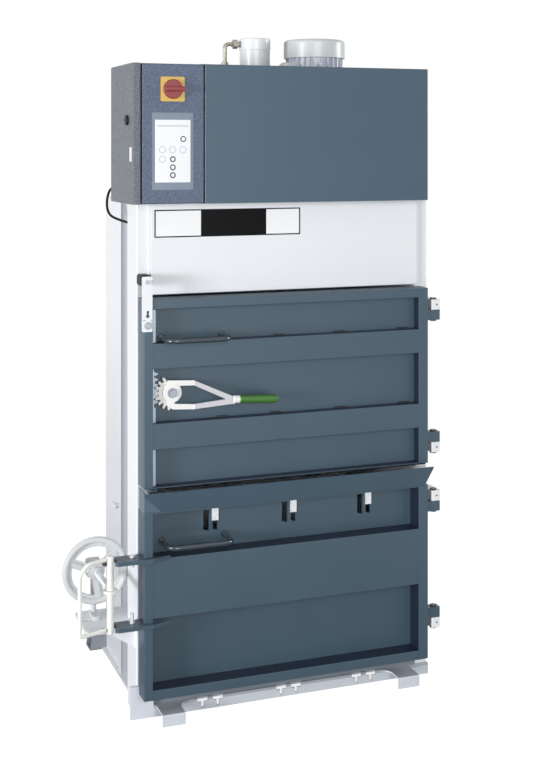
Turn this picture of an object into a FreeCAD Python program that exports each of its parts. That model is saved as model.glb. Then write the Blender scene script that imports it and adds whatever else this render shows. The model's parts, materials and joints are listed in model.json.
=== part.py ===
import FreeCAD, Part
import math
import os

# Upright recycling baler: a press in a steel frame with an upper and a lower
# door.  Sizes are in millimetres.  While it is drawn, X runs along the front
# from the left post's outer face, Y runs from the posts' front face to the
# back, and Z runs up from the floor.  save() moves every piece so that the
# bottom centre of the whole machine is the origin.

V = FreeCAD.Vector
os.makedirs("parts", exist_ok=True)

# ---- driving sizes -------------------------------------------------------
BODY_W = 1102.6          # over the two front posts
BODY_D = 638.0           # posts' front face to the back of the rear wall
FRAME_H = 1751.0         # floor to the top of the posts
HEAD_H = 475.0           # height of the head cover and the switch cabinet
POST_W = 48.6
POST_D = 128.0
POST_WALL = 4.0
SHEET = 6.0              # walls, base and door plates
SKIN = 3.0               # covers and the cabinet
BASE_H = 40.0            # top of the folded base plate
BASE_FRONT = 12.0        # how far the base stands in front of the posts
FOOT_OUT = 101.0         # front edge of the two feet
FLOOR_H = 110.0          # top of the chamber's floor
CORNER_OUT = 22.0        # left corner plate's step outside the post
FOOT_BAR = 18.0          # width of the flat bars along the walls' feet
CROSS_D = 76.0           # rear foot tube
CROSS_H = 50.0
CROSS_BACK = 65.0        # how far it stands behind the rear wall
STRAP_PITCH = 291.0      # three strap lines, one over the middle
STRAP_HALF = 28.0        # half the distance of a pair of strap slots
CHANNEL_H = 15.0         # bars that form the strap channels
DOOR_LEFT = 6.0
DOOR_W = 1060.0
DOOR_FRONT = 83.0        # front face of both doors, before the posts
DOOR_GAP = 1.0           # between a door's back and the posts
HINGE_X = 1098.0
HINGE_Y = -60.0
HINGE_HALF = 20.0        # the hinge blocks' right side from the pin's axis
PIN_R = 9.0
FIT = 0.05               # radial clearance of running fits
NEAR = 0.3               # gap of faces that pass each other
UPPER_BOTTOM = 797.0
UPPER_H = 635.0
UPPER_FLOOR = 43.0       # recess floors of the upper door, before the posts
LOWER_BOTTOM = 87.0
LOWER_H = 628.0
LOWER_FLOOR = 13.0       # recess floors of the lower door, before the posts
STILE_L = 30.0
STILE_R = 37.0
HANDLE_R = 9.5
BOSS_R = 13.0
BOSS_GAP = 0.455         # from the upper handle's bosses to the rib below them
HANDLE_OUT = 100.0
GEAR_MODULE = 6.0
GEAR_TEETH = 18          # of the full circle; the segment has fewer
SEGMENT_TEETH = 8
LEVER_TILT = 3.0         # the grip hangs a little at rest
LEVER_TURN = 30.0        # degrees from released to locked
LEVER_X = 107.0
LEVER_Z = 1112.0
BAR_X = -109.5           # locking bar of the lower door
BAR_Y = -79.0
BAR_R = 12.0
ARM_T = 13.0
ARM_Z = (343.5, 563.0)
WHEEL_Z = 472.0
WHEEL_Y = 142.0
WHEEL_R = 117.0
RIM_R = 11.0
SPINDLE_R = 10.0
CARRIER_Y = 178.0
SLOT_Y = 130.0           # the guide plate's slot
GUIDE_Z = 301.0
GUIDE_T = 10.0
RAM_DOWN = 311.0         # lower face of the ram plate at rest, below the posts' tops
CYL_X = 535.0
CYL_Y = 300.0
CYL_R = 57.0
CYL_UP = 124.0           # end of the cylinder and the motor above the hood
MOTOR_X = 776.5
MOTOR_R = 117.0
CABINET_LEFT = -33.0
CABINET_RIGHT = 218.5
CABINET_BACK = 235.0
CABINET_DOOR_T = 20.0
CABLE_R = 4.5

# ---- values that follow from them ----------------------------------------
WALL_X = POST_W - SHEET
RIGHT_POST = BODY_W - POST_W
MIDDLE = BODY_W / 2.0
TOP = FRAME_H + HEAD_H
REAR = BODY_D + CROSS_BACK
RAM_BOTTOM = FRAME_H - RAM_DOWN
CYL_TOP = TOP + CYL_UP
INNER_BACK = REAR - CROSS_D      # where the floor meets the rear foot tube
STRAPS = [MIDDLE - STRAP_PITCH, MIDDLE, MIDDLE + STRAP_PITCH]
DOOR_RIGHT = DOOR_LEFT + DOOR_W
FRONT_Y = -DOOR_FRONT
UPPER_TOP = UPPER_BOTTOM + UPPER_H
LOWER_TOP = LOWER_BOTTOM + LOWER_H
HANDLE_Y = -UPPER_FLOOR - HANDLE_OUT
HEAD_RIGHT = DOOR_RIGHT
SHIFT = V(
    -0.5 * (BAR_X - WHEEL_R + HINGE_X + HINGE_HALF),
    -0.5 * (HANDLE_Y - HANDLE_R + REAR),
    0,
)

X = V(1, 0, 0)
Y = V(0, 1, 0)
Z = V(0, 0, 1)


# ---- small tools ---------------------------------------------------------
def save(name, shape):
    """Move a finished piece to the machine's origin and write it."""
    piece = shape.copy()
    piece.translate(SHIFT)
    if not piece.isValid():
        print("not valid:", name)
    piece.exportStep("parts/" + name + ".step")
    print("%-22s solids %d volume %.1f cm3" % (name, len(piece.Solids), piece.Volume / 1000.0))


def box(x0, x1, y0, y1, z0, z1):
    """Box between two values on each axis."""
    return Part.makeBox(x1 - x0, y1 - y0, z1 - z0, V(x0, y0, z0))


def rod(x, y, z, axis, length, radius):
    """Cylinder that starts at a point and runs along an axis."""
    return Part.makeCylinder(radius, length, V(x, y, z), axis)


def ring(x, y, z, axis, length, outer, inner):
    """Tube that starts at a point and runs along an axis."""
    return rod(x, y, z, axis, length, outer).cut(rod(x, y, z, axis, length, inner))


def plate(points, along):
    """Closed outline of points, pushed along a vector."""
    wire = Part.makePolygon(points + [points[0]])
    return Part.Face(wire).extrude(along)


def join(shapes):
    """One solid of touching shapes, without seams in its flat faces."""
    return shapes[0].multiFuse(shapes[1:]).removeSplitter()


def edges_along(shape, axis, keep):
    """Straight edges parallel to an axis whose middle passes a test."""
    found = []
    for edge in shape.Edges:
        if isinstance(edge.Curve, Part.Line):
            way = edge.tangentAt(edge.FirstParameter)
            if abs(abs(way.dot(axis)) - 1.0) < 1e-6 and keep(edge.CenterOfMass):
                found.append(edge)
    return found


def round_edges(shape, axis, radius, keep):
    """Round the edges that edges_along finds."""
    return shape.makeFillet(radius, edges_along(shape, axis, keep))


def bent_rod(points, bends, radius):
    """Round rod through points, with an arc of a given radius at each corner."""
    parts = []
    start = points[0]
    for i in range(1, len(points) - 1):
        before = (points[i] - points[i - 1]).normalize()
        after = (points[i + 1] - points[i]).normalize()
        half = math.acos(max(-1.0, min(1.0, before.dot(after)))) / 2.0
        back = bends[i - 1] * math.tan(half)
        enter = points[i] - before * back
        leave = points[i] + after * back
        inward = (after - before).normalize()
        centre = points[i] + inward * (bends[i - 1] / math.cos(half))
        middle = centre - inward * bends[i - 1]
        parts.append(Part.makeLine(start, enter))
        parts.append(Part.Arc(enter, middle, leave).toShape())
        start = leave
    parts.append(Part.makeLine(start, points[-1]))
    path = Part.Wire(parts)
    way = (points[1] - points[0]).normalize()
    section = Part.Wire(Part.makeCircle(radius, points[0], way))
    return path.makePipeShell([section], True, False)


def hexagon(x, y, z, axis, length, across):
    """Hexagon head or nut that starts at a point and runs along an axis."""
    points = []
    for i in range(6):
        angle = math.radians(60 * i + 30)
        a = across / math.sqrt(3.0) * math.cos(angle)
        b = across / math.sqrt(3.0) * math.sin(angle)
        if axis == X or axis == X * -1:
            points.append(V(x, y + a, z + b))
        elif axis == Y or axis == Y * -1:
            points.append(V(x + a, y, z + b))
        else:
            points.append(V(x + a, y + b, z))
    return plate(points, axis * length)


# ---- base ----------------------------------------------------------------
def base_plate():
    """Folded sheet with two feet and three pairs of slots for the straps."""
    inner = (BASE_H - SHEET)
    top = box(POST_W, RIGHT_POST, 0, INNER_BACK, inner, BASE_H)
    lip = box(57, BODY_W, -BASE_FRONT, -BASE_FRONT + SHEET, 0, BASE_H)
    lip = lip.fuse(box(57, BODY_W, -BASE_FRONT + SHEET, 0, inner, BASE_H))
    sheet = join([top, lip])
    for left, right in ((66.0, 145.0), (940.0, 1022.0)):
        curve = 40.0
        tab = box(left, right, -FOOT_OUT, -BASE_FRONT, inner, BASE_H)
        drop = box(left, right, -FOOT_OUT, -FOOT_OUT + SHEET, 0, BASE_H)
        side = right if left < MIDDLE else left
        turn = 1.0 if left < MIDDLE else -1.0
        fill = box(min(side, side + turn * curve), max(side, side + turn * curve),
                   -BASE_FRONT - curve, -BASE_FRONT, inner, BASE_H)
        fill = fill.cut(rod(side + turn * curve, -BASE_FRONT - curve, 0, Z, BASE_H + 1, curve))
        foot = join([tab, drop, fill])
        foot = round_edges(foot, X, SHEET - 1.0, lambda p: p.y < -FOOT_OUT + 0.1 and p.z > BASE_H - 0.1)
        sheet = join([sheet, foot])
    slots = []
    for line in STRAPS:
        for step in (-STRAP_HALF, STRAP_HALF):
            slots.append(box(line + step - 19, line + step + 19, -BASE_FRONT - 1, -BASE_FRONT + 10,
                             BASE_H - 14, BASE_H + 1))
            slots.append(box(line + step - 5, line + step + 5, -BASE_FRONT - 1, -BASE_FRONT + 10,
                             8, BASE_H - 14))
    return sheet.cut(slots[0].multiFuse(slots[1:]))


def foot_bars():
    """Flat bars welded along the outer feet of both side walls."""
    bars = []
    for x in (WALL_X - FOOT_BAR, RIGHT_POST + SHEET):
        bar = box(x, x + FOOT_BAR, POST_D, INNER_BACK, 0, 8)
        bars.append(round_edges(bar, Z, 4.0, lambda p: p.x < WALL_X - 1 or p.x > RIGHT_POST + SHEET + 1))
    return Part.makeCompound(bars)


def rear_crossmember():
    """Rear foot tube under the back wall, with its ends cut at a slant."""
    x0 = -CORNER_OUT
    x1 = HINGE_X + HINGE_HALF
    beam = plate([V(x0, INNER_BACK, 0), V(x1, INNER_BACK, 0), V(x1 - 8, INNER_BACK, CROSS_H), V(x0 + 8, INNER_BACK, CROSS_H)],
                 Y * CROSS_D)
    beam = round_edges(beam, X, 6.0, lambda p: True)
    hollow = box(x0 - 2, x1 + 2, INNER_BACK + 5, REAR - 5, 5, CROSS_H - 5)
    return beam.cut(hollow)


def corner_plate():
    """Flat plate before the left post's foot, with its corner cut off."""
    left = -CORNER_OUT - 1
    points = [V(left, -BASE_FRONT, 0), V(57, -BASE_FRONT, 0), V(57, -BASE_FRONT, 87),
              V(28, -BASE_FRONT, 87), V(4, -BASE_FRONT, 112), V(left, -BASE_FRONT, 112)]
    return plate(points, Y * BASE_FRONT)


save("base_plate", base_plate())
save("corner_plate", corner_plate())
save("foot_bars", foot_bars())
save("rear_crossmember", rear_crossmember())


# ---- posts and walls -----------------------------------------------------
def post(x0):
    """Box tube from the floor to the head."""
    tube = box(x0, x0 + POST_W, 0, POST_D, 0, FRAME_H)
    tube = round_edges(tube, Z, 5.0, lambda p: True)
    bore = box(x0 + POST_WALL, x0 + POST_W - POST_WALL, POST_WALL, POST_D - POST_WALL, -1, FRAME_H + 1)
    return tube.cut(bore)


def side_wall(x0, outer):
    """Sheet behind a post with an upright stiffener on its outer face."""
    wall = box(x0, x0 + SHEET, POST_D, BODY_D, 0, FRAME_H)
    wall = wall.cut(box(x0 - 1, x0 + SHEET + 1, INNER_BACK, BODY_D + 1, -1, CROSS_H))
    bar = box(outer - 4, outer + 4, 362, 402, 8, FRAME_H)
    return join([wall, bar])


def rear_wall():
    """Sheet on the rear foot tube, with two upright hat-shaped stiffeners."""
    wall = box(POST_W, RIGHT_POST, BODY_D - SHEET, BODY_D, CROSS_H, FRAME_H)
    shapes = [wall]
    for x in (MIDDLE - 220, MIDDLE + 220):
        hat = box(x - 30, x + 30, BODY_D, BODY_D + 25, CROSS_H, FRAME_H)
        shapes.append(hat.cut(box(x - 26, x + 26, BODY_D - 1, BODY_D + 21, CROSS_H - 1, FRAME_H + 1)))
    return join(shapes)


save("post_left", post(0.0))
save("post_right", post(RIGHT_POST))
save("side_wall_left", side_wall(WALL_X, WALL_X - 4))
save("side_wall_right", side_wall(RIGHT_POST, RIGHT_POST + SHEET + 4))
save("rear_wall", rear_wall())


def chamber_floor():
    """Turned-down pan with three pairs of bars that leave channels for the straps."""
    pan = box(POST_W, RIGHT_POST, 0, INNER_BACK, BASE_H, FLOOR_H)
    pan = pan.cut(box(POST_W + SHEET, RIGHT_POST - SHEET, SHEET, INNER_BACK + 1, BASE_H - 1, FLOOR_H - SHEET))
    shapes = [pan]
    for line in STRAPS:
        for step in (-STRAP_HALF, STRAP_HALF):
            shapes.append(box(line + step - 12, line + step + 12, 8, INNER_BACK, FLOOR_H, FLOOR_H + CHANNEL_H))
    floor = join(shapes)
    for line in STRAPS:
        floor = floor.cut(box(line - 12, line + 12, -1, 20, FLOOR_H - 30, FLOOR_H + 1))
    return floor


save("chamber_floor", chamber_floor())


# ---- upper door ----------------------------------------------------------
RACK_X = LEVER_X - GEAR_MODULE * GEAR_TEETH / 2.0    # the rack's pitch line
RACK_BACK = RACK_X - 1.25 * GEAR_MODULE              # foot of its teeth
RACK_LEFT = RACK_BACK - 4.5
RACK_FRONT = -UPPER_FLOOR - 17.0
RACK_REAR = -UPPER_FLOOR - 5.0
RACK_TRAVEL = math.radians(LEVER_TURN) * GEAR_MODULE * GEAR_TEETH / 2.0
BANDS = [(0.0, 4.0), (0.205 * UPPER_H, 0.342 * UPPER_H), (0.6315 * UPPER_H, 0.767 * UPPER_H), (UPPER_H - 33.0, UPPER_H)]


def upper_door_panel():
    """Hollow back of the door; its front plate is the floor of the recesses."""
    shell = box(DOOR_LEFT, DOOR_RIGHT, -UPPER_FLOOR, -DOOR_GAP, UPPER_BOTTOM, UPPER_TOP)
    void = box(DOOR_LEFT + 4, DOOR_RIGHT - 4, -UPPER_FLOOR + SHEET, -DOOR_GAP - 4, UPPER_BOTTOM + 4, UPPER_TOP - 4)
    return shell.cut(void)


def upper_door_frame():
    """Stiles and ribs folded from one sheet, with notches that the rack runs through."""
    frame = box(DOOR_LEFT, DOOR_RIGHT, FRONT_Y, -UPPER_FLOOR, UPPER_BOTTOM, UPPER_TOP)
    left = DOOR_LEFT + STILE_L
    right = DOOR_RIGHT - STILE_R
    for i in range(len(BANDS) - 1):
        z0 = UPPER_BOTTOM + BANDS[i][1]
        z1 = UPPER_BOTTOM + BANDS[i + 1][0]
        frame = frame.cut(box(left, right, FRONT_Y - 1, -UPPER_FLOOR + 1, z0, z1))
    rounded = edges_along(frame, X, lambda p: p.y < FRONT_Y + 0.1)
    rounded += edges_along(frame, Z, lambda p: p.y < FRONT_Y + 0.1)
    frame = frame.makeFillet(1.8, rounded)
    hollows = [box(DOOR_LEFT + 4, left - 4, FRONT_Y + 4, -UPPER_FLOOR + 1, UPPER_BOTTOM + 4, UPPER_TOP - 4),
               box(right + 4, DOOR_RIGHT - 4, FRONT_Y + 4, -UPPER_FLOOR + 1, UPPER_BOTTOM + 4, UPPER_TOP - 4)]
    for low, high in BANDS[1:]:
        hollows.append(box(left - 5, right + 5, FRONT_Y + 4, -UPPER_FLOOR + 1,
                           UPPER_BOTTOM + low + 4, UPPER_BOTTOM + high - 4))
    frame = frame.cut(hollows[0].multiFuse(hollows[1:]))
    notch = box(RACK_LEFT - 2, RACK_X + GEAR_MODULE + 3, RACK_FRONT - 3, -UPPER_FLOOR + 1,
                UPPER_BOTTOM + 1 - 2, UPPER_TOP - 6)
    return frame.cut(notch)


def door_handle(x0, x1, z, foot_y):
    """Bent round bar with a boss at each foot."""
    out = foot_y - HANDLE_OUT
    points = [V(x0, foot_y, z), V(x0, out, z), V(x1, out, z), V(x1, foot_y, z)]
    bosses = [rod(x, foot_y, z, Y * -1, 12.0, BOSS_R) for x in (x0, x1)]
    return join([bent_rod(points, [30.0, 30.0], HANDLE_R)] + bosses)


def hinge_block(z0, z1, on_door):
    """Half of a hinge: a block round the pin and the foot that is welded on."""
    r = HINGE_HALF
    high = z1 - z0
    knuckle = rod(HINGE_X, HINGE_Y, z0, Z, high, r)
    if on_door:
        foot = box(DOOR_RIGHT, HINGE_X, HINGE_Y - 18, HINGE_Y + 18, z0, z1)
        square = box(HINGE_X - 1, HINGE_X + r, HINGE_Y - 18, HINGE_Y + 18, z0, z1)
    else:
        foot = box(HINGE_X - 15, HINGE_X + r, HINGE_Y, 0, z0, z1)
        square = box(HINGE_X - 15, HINGE_X + r, HINGE_Y - 18, HINGE_Y + 1, z0, z1)
    block = join([foot, square])
    block = round_edges(block, Z, 4.0, lambda p: p.y < HINGE_Y and (p.x > HINGE_X or not on_door))
    return block.cut(rod(HINGE_X, HINGE_Y, z0 - 1, Z, high + 2, PIN_R + (FIT if on_door else 0.0)))


save("upper_door_panel", upper_door_panel())
save("upper_door_frame", upper_door_frame())
HANDLE_Z = UPPER_BOTTOM + BANDS[2][1] + BOSS_R + BOSS_GAP
save("upper_handle", door_handle(DOOR_LEFT + 69.0, DOOR_LEFT + 285.0, HANDLE_Z, -UPPER_FLOOR))

# Each hinge has one block on the post and one on the door.  The numbers are
# the height of the joint between them and which of them is above.
HINGE_H = 37.0
UPPER_HINGES = [(UPPER_TOP - 81.0, False), (UPPER_BOTTOM + 72.0, True)]
LOWER_HINGES = [(LOWER_TOP - 60.0, False), (LOWER_BOTTOM + 143.0, True)]


def hinges(places, on_door):
    """The blocks of one door's two hinges that sit on the door or on the post."""
    blocks = []
    for z, door_above in places:
        above = door_above == on_door
        if above:
            blocks.append(hinge_block(z + 0.5 * NEAR, z + HINGE_H, on_door))
        else:
            blocks.append(hinge_block(z - HINGE_H, z - 0.5 * NEAR, on_door))
    return Part.makeCompound(blocks)


def hinge_pins(places):
    """Pins with a round cap above and below the blocks."""
    pins = []
    for z, door_above in places:
        low = z - HINGE_H
        high = z + HINGE_H
        pin = rod(HINGE_X, HINGE_Y, low - 5, Z, high - low + 10, PIN_R)
        head = rod(HINGE_X, HINGE_Y, low - 5, Z, 5.0 - 0.2, PIN_R + 3)
        top = rod(HINGE_X, HINGE_Y, high + 0.2, Z, 5.0 - 0.2, PIN_R + 3)
        pins.append(join([pin, head, top]))
    return Part.makeCompound(pins)


save("hinges_posts", Part.makeCompound([hinges(UPPER_HINGES, False), hinges(LOWER_HINGES, False)]))
save("hinges_upper_door", hinges(UPPER_HINGES, True))
save("hinges_lower_door", hinges(LOWER_HINGES, True))
save("hinge_pins", hinge_pins(UPPER_HINGES + LOWER_HINGES))


# ---- rack, toothed segment and lever of the upper door --------------------
PITCH_R = GEAR_MODULE * GEAR_TEETH / 2.0
PRESSURE = math.radians(20.0)
BACKLASH = 0.5
HUB_R = 30.0
STUD_R = 10.0


def rack():
    """Flat bar with involute rack teeth opposite the toothed segment."""
    low = UPPER_BOTTOM + 1.0
    high = UPPER_TOP - 37.0
    bar = box(RACK_LEFT, RACK_X - 2.0, RACK_FRONT, RACK_REAR, low, high)
    pitch = math.pi * GEAR_MODULE
    zone_low = LEVER_Z - 2.5 * pitch
    zone_high = LEVER_Z + 4.5 * pitch
    bar = bar.cut(box(RACK_BACK, RACK_X, RACK_FRONT - 1, RACK_REAR + 1, zone_low, zone_high))
    teeth = []
    half = pitch / 4.0 - BACKLASH / 2.0
    for i in range(7):
        z = zone_low + (i + 0.5) * pitch + pitch / 2.0
        if i == 6:
            continue
        foot = half + 1.25 * GEAR_MODULE * math.tan(PRESSURE)
        tip = half - GEAR_MODULE * math.tan(PRESSURE)
        teeth.append(plate([V(RACK_BACK - 1, RACK_FRONT, z - foot), V(RACK_BACK, RACK_FRONT, z - foot),
                            V(RACK_X + GEAR_MODULE, RACK_FRONT, z - tip),
                            V(RACK_X + GEAR_MODULE, RACK_FRONT, z + tip),
                            V(RACK_BACK, RACK_FRONT, z + foot), V(RACK_BACK - 1, RACK_FRONT, z + foot)],
                           Y * (RACK_REAR - RACK_FRONT)))
    return join([bar] + teeth)


def segment_outline():
    """Points of the toothed segment round the lever's axis, from an involute."""
    base = PITCH_R * math.cos(PRESSURE)
    root = PITCH_R - 1.25 * GEAR_MODULE
    tip = PITCH_R + GEAR_MODULE
    step = 2.0 * math.pi / GEAR_TEETH
    half = (math.pi * GEAR_MODULE / 4.0 - BACKLASH / 2.0) / PITCH_R
    at_pitch = math.tan(PRESSURE) - PRESSURE
    flank = []
    for i in range(5):
        r = base + (tip - base) * i / 4.0
        lean = math.acos(base / r)
        flank.append((r, half + at_pitch - (math.tan(lean) - lean)))
    points = []
    first = math.radians(120.0)
    for i in range(SEGMENT_TEETH):
        middle = first + i * step
        points.append((root, middle - flank[0][1]))
        points += [(r, middle - a) for r, a in flank]
        points += [(r, middle + a) for r, a in reversed(flank)]
        points.append((root, middle + flank[0][1]))
    return [V(LEVER_X + r * math.cos(a), 0, LEVER_Z + r * math.sin(a)) for r, a in points]


GRIP_Y = -101.0
FORK_U = 204.0           # where the fork's bars meet, from the hub
FORK_W = -29.0           # and how far below the hub
GRIP_U = FORK_U + 25.0


def fork_bar(u, low, high, end_low, end_high):
    """Second run of a fork bar, which leans out from the door towards the grip."""
    wires = []
    for along, w0, w1, y in ((u, low, high, RACK_FRONT - 4), (FORK_U, end_low, end_high, GRIP_Y)):
        x = LEVER_X + along
        corners = [V(x, y - 4, LEVER_Z + w0), V(x, y + 4, LEVER_Z + w0), V(x, y + 4, LEVER_Z + w1), V(x, y - 4, LEVER_Z + w1)]
        wires.append(Part.makePolygon(corners + [corners[0]]))
    return Part.makeLoft(wires, True, True)


def lever():
    """Toothed segment, hub, fork of two bent flat bars, collar and shank of the grip."""
    centre = V(LEVER_X, 0, LEVER_Z)
    outline = segment_outline() + [centre]
    teeth = plate([p + Y * RACK_FRONT for p in outline], Y * (RACK_REAR - RACK_FRONT))
    hub = rod(LEVER_X, RACK_FRONT - 10, LEVER_Z, Y, RACK_REAR + 1 - RACK_FRONT + 10, HUB_R)
    front = RACK_FRONT - 8.0
    upper = [(-20, 28), (-14, 43), (78, 37.5), (78, 20.5), (30, 23), (0, 0)]
    lower = [(0, 0), (9, -38), (76, -43.5), (76, -60.5), (2, -56), (-14, -46)]
    arms = [plate([centre + V(u, front, w) for u, w in run], Y * 8.5) for run in (upper, lower)]
    arms.append(rod(LEVER_X, front, LEVER_Z, Y, 8.5, 33.0))
    arms.append(fork_bar(77.5, 20.5, 37.5, -38.0, -18.0))
    arms.append(fork_bar(75.5, -60.5, -43.5, -44.0, -25.0))
    start = V(LEVER_X + FORK_U - 1, GRIP_Y, LEVER_Z + FORK_W)
    joint = box(start.x - 3, start.x + 7, GRIP_Y - 5, GRIP_Y + 5, start.z - 15.5, start.z + 11.5)
    collar = rod(start.x + 4, start.y, start.z, X, 22.0, 13.0)
    shank = rod(start.x + 4, start.y, start.z, X, 87.0, 8.0)
    handle = join([collar.makeChamfer(1.2, [e for e in collar.Edges if isinstance(e.Curve, Part.Circle)]), shank])
    handle.rotate(start, Y, LEVER_TILT)
    whole = join([teeth, hub, joint, handle] + arms)
    return whole.cut(rod(LEVER_X, RACK_FRONT - 30, LEVER_Z, Y, 60, STUD_R + FIT))


def lever_grip():
    """Turned grip with a rounded end, pushed on the shank."""
    pivot = V(LEVER_X + FORK_U - 1, GRIP_Y, LEVER_Z + FORK_W)
    start = pivot.x + 26.0
    turned = [(0, 8.0), (0, 12.6), (1.5, 14.0), (8, 14.2), (14, 13.2), (40, 13.4), (80, 14.0), (112, 14.2), (128, 13.6),
              (136, 11.6), (141, 8), (143, 0), (66, 0), (66, 8.0)]
    profile = [V(start + along, GRIP_Y, pivot.z + r) for along, r in turned]
    grip = Part.Face(Part.makePolygon(profile + [profile[0]])).revolve(V(start, GRIP_Y, pivot.z), X, 360)
    grip.rotate(pivot, Y, LEVER_TILT)
    return grip


def lever_pivot():
    """Shouldered stud on the door, with a washer and a hexagon head."""
    shoulder = rod(LEVER_X, RACK_REAR + 1 + NEAR, LEVER_Z, Y, -UPPER_FLOOR - RACK_REAR - 1 - NEAR, 16.0)
    front = RACK_FRONT - 10 - NEAR
    stud = rod(LEVER_X, front - 3, LEVER_Z, Y, -UPPER_FLOOR - front + 3, STUD_R)
    washer = rod(LEVER_X, front - 3, LEVER_Z, Y, 3.0, 17.0)
    head = hexagon(LEVER_X, front - 12, LEVER_Z, Y, 9.0, 24.0)
    return join([shoulder, stud, washer, head])


def rack_guides():
    """Pads behind the rack, each with a lip that keeps the rack on its line."""
    pads = []
    for z in (UPPER_BOTTOM + 60, UPPER_BOTTOM + 350, UPPER_TOP - 100):
        pad = box(RACK_LEFT - 4.5, RACK_X - 2, RACK_REAR + NEAR, -UPPER_FLOOR, z - 15, z + 15)
        lip = box(RACK_LEFT - 4.5, RACK_LEFT - NEAR, RACK_FRONT + 2, RACK_REAR + NEAR, z - 15, z + 15)
        pads.append(join([pad, lip]))
    return Part.makeCompound(pads)


def lock_keeper():
    """Plate on the left post that the rack's lower end drops into."""
    top = UPPER_BOTTOM - 5.0
    body = box(28, RACK_X + 6, RACK_FRONT - 10, 0, top - 10, top)
    body = round_edges(body, Z, 6.0, lambda p: p.y < RACK_FRONT)
    return body.cut(box(RACK_LEFT - 1.5, RACK_X - 0.5, RACK_FRONT - 1.5, RACK_REAR + 1.5, top - 11, top + 1))


save("rack", rack())
save("lever", lever())
save("lever_grip", lever_grip())
save("lever_pivot", lever_pivot())
save("rack_guides", rack_guides())
save("lock_keeper", lock_keeper())
mesh_gap = rack().distToShape(lever())[0]
print("rack to segment gap %.3f mm, rack travel %.2f mm" % (mesh_gap, RACK_TRAVEL))


# ---- lower door ----------------------------------------------------------
LOWER_BANDS = [(0.0, 33.0), (0.436 * LOWER_H, 0.755 * LOWER_H), (LOWER_H - 4.0, LOWER_H)]
SLOT_LOW = LOWER_TOP - 99.0
SLOT_HIGH = LOWER_TOP - 27.0
LIP_RISE = 75.0
LIP_OUT = 42.0
LIP_T = 4.0
CHEEK_W = 58.0           # left end of the strip, closed by a cheek


def lower_door_panel():
    """Thick plate with the strap slots and a notch that clears the corner plate."""
    panel = box(DOOR_LEFT, DOOR_RIGHT, -LOWER_FLOOR, -DOOR_GAP, LOWER_BOTTOM, LOWER_TOP)
    panel = panel.cut(box(DOOR_LEFT - 1, 60, -LOWER_FLOOR - 1, 0, LOWER_BOTTOM - 1, 117))
    slots = []
    for line in STRAPS:
        for centre, half in ((line - 16.0, 10.5), (line + 16.0, 9.0)):
            outline = [V(centre - half, -LOWER_FLOOR - 1, SLOT_LOW + 5), V(centre + half, -LOWER_FLOOR - 1, SLOT_LOW),
                       V(centre + half, -LOWER_FLOOR - 1, SLOT_HIGH), V(centre - half, -LOWER_FLOOR - 1, SLOT_HIGH)]
            slots.append(plate(outline, Y * (LOWER_FLOOR + 2)))
    return panel.cut(slots[0].multiFuse(slots[1:]))


def lower_door_frame():
    """Stiles, bottom rib, raised band and top ledge folded from one sheet."""
    left = DOOR_LEFT + STILE_L
    right = DOOR_RIGHT - STILE_R
    frame = box(DOOR_LEFT, DOOR_RIGHT, FRONT_Y, -LOWER_FLOOR, LOWER_BOTTOM, LOWER_TOP)
    for i in range(len(LOWER_BANDS) - 1):
        z0 = LOWER_BOTTOM + LOWER_BANDS[i][1]
        z1 = LOWER_BOTTOM + LOWER_BANDS[i + 1][0]
        frame = frame.cut(box(left, right, FRONT_Y - 1, -LOWER_FLOOR + 1, z0, z1))
    rounded = edges_along(frame, X, lambda p: p.y < FRONT_Y + 0.1)
    rounded += edges_along(frame, Z, lambda p: p.y < FRONT_Y + 0.1)
    frame = frame.makeFillet(1.8, rounded)
    hollows = [box(DOOR_LEFT + 4, left - 4, FRONT_Y + 4, -LOWER_FLOOR + 1, LOWER_BOTTOM + 4, LOWER_TOP - 4),
               box(right + 4, DOOR_RIGHT - 4, FRONT_Y + 4, -LOWER_FLOOR + 1, LOWER_BOTTOM + 4, LOWER_TOP - 4)]
    for low, high in LOWER_BANDS[:2]:
        hollows.append(box(left - 5, right + 5, FRONT_Y + 4, -LOWER_FLOOR + 1,
                           LOWER_BOTTOM + low + 4, LOWER_BOTTOM + high - 4))
    return frame.cut(hollows[0].multiFuse(hollows[1:]))


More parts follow.
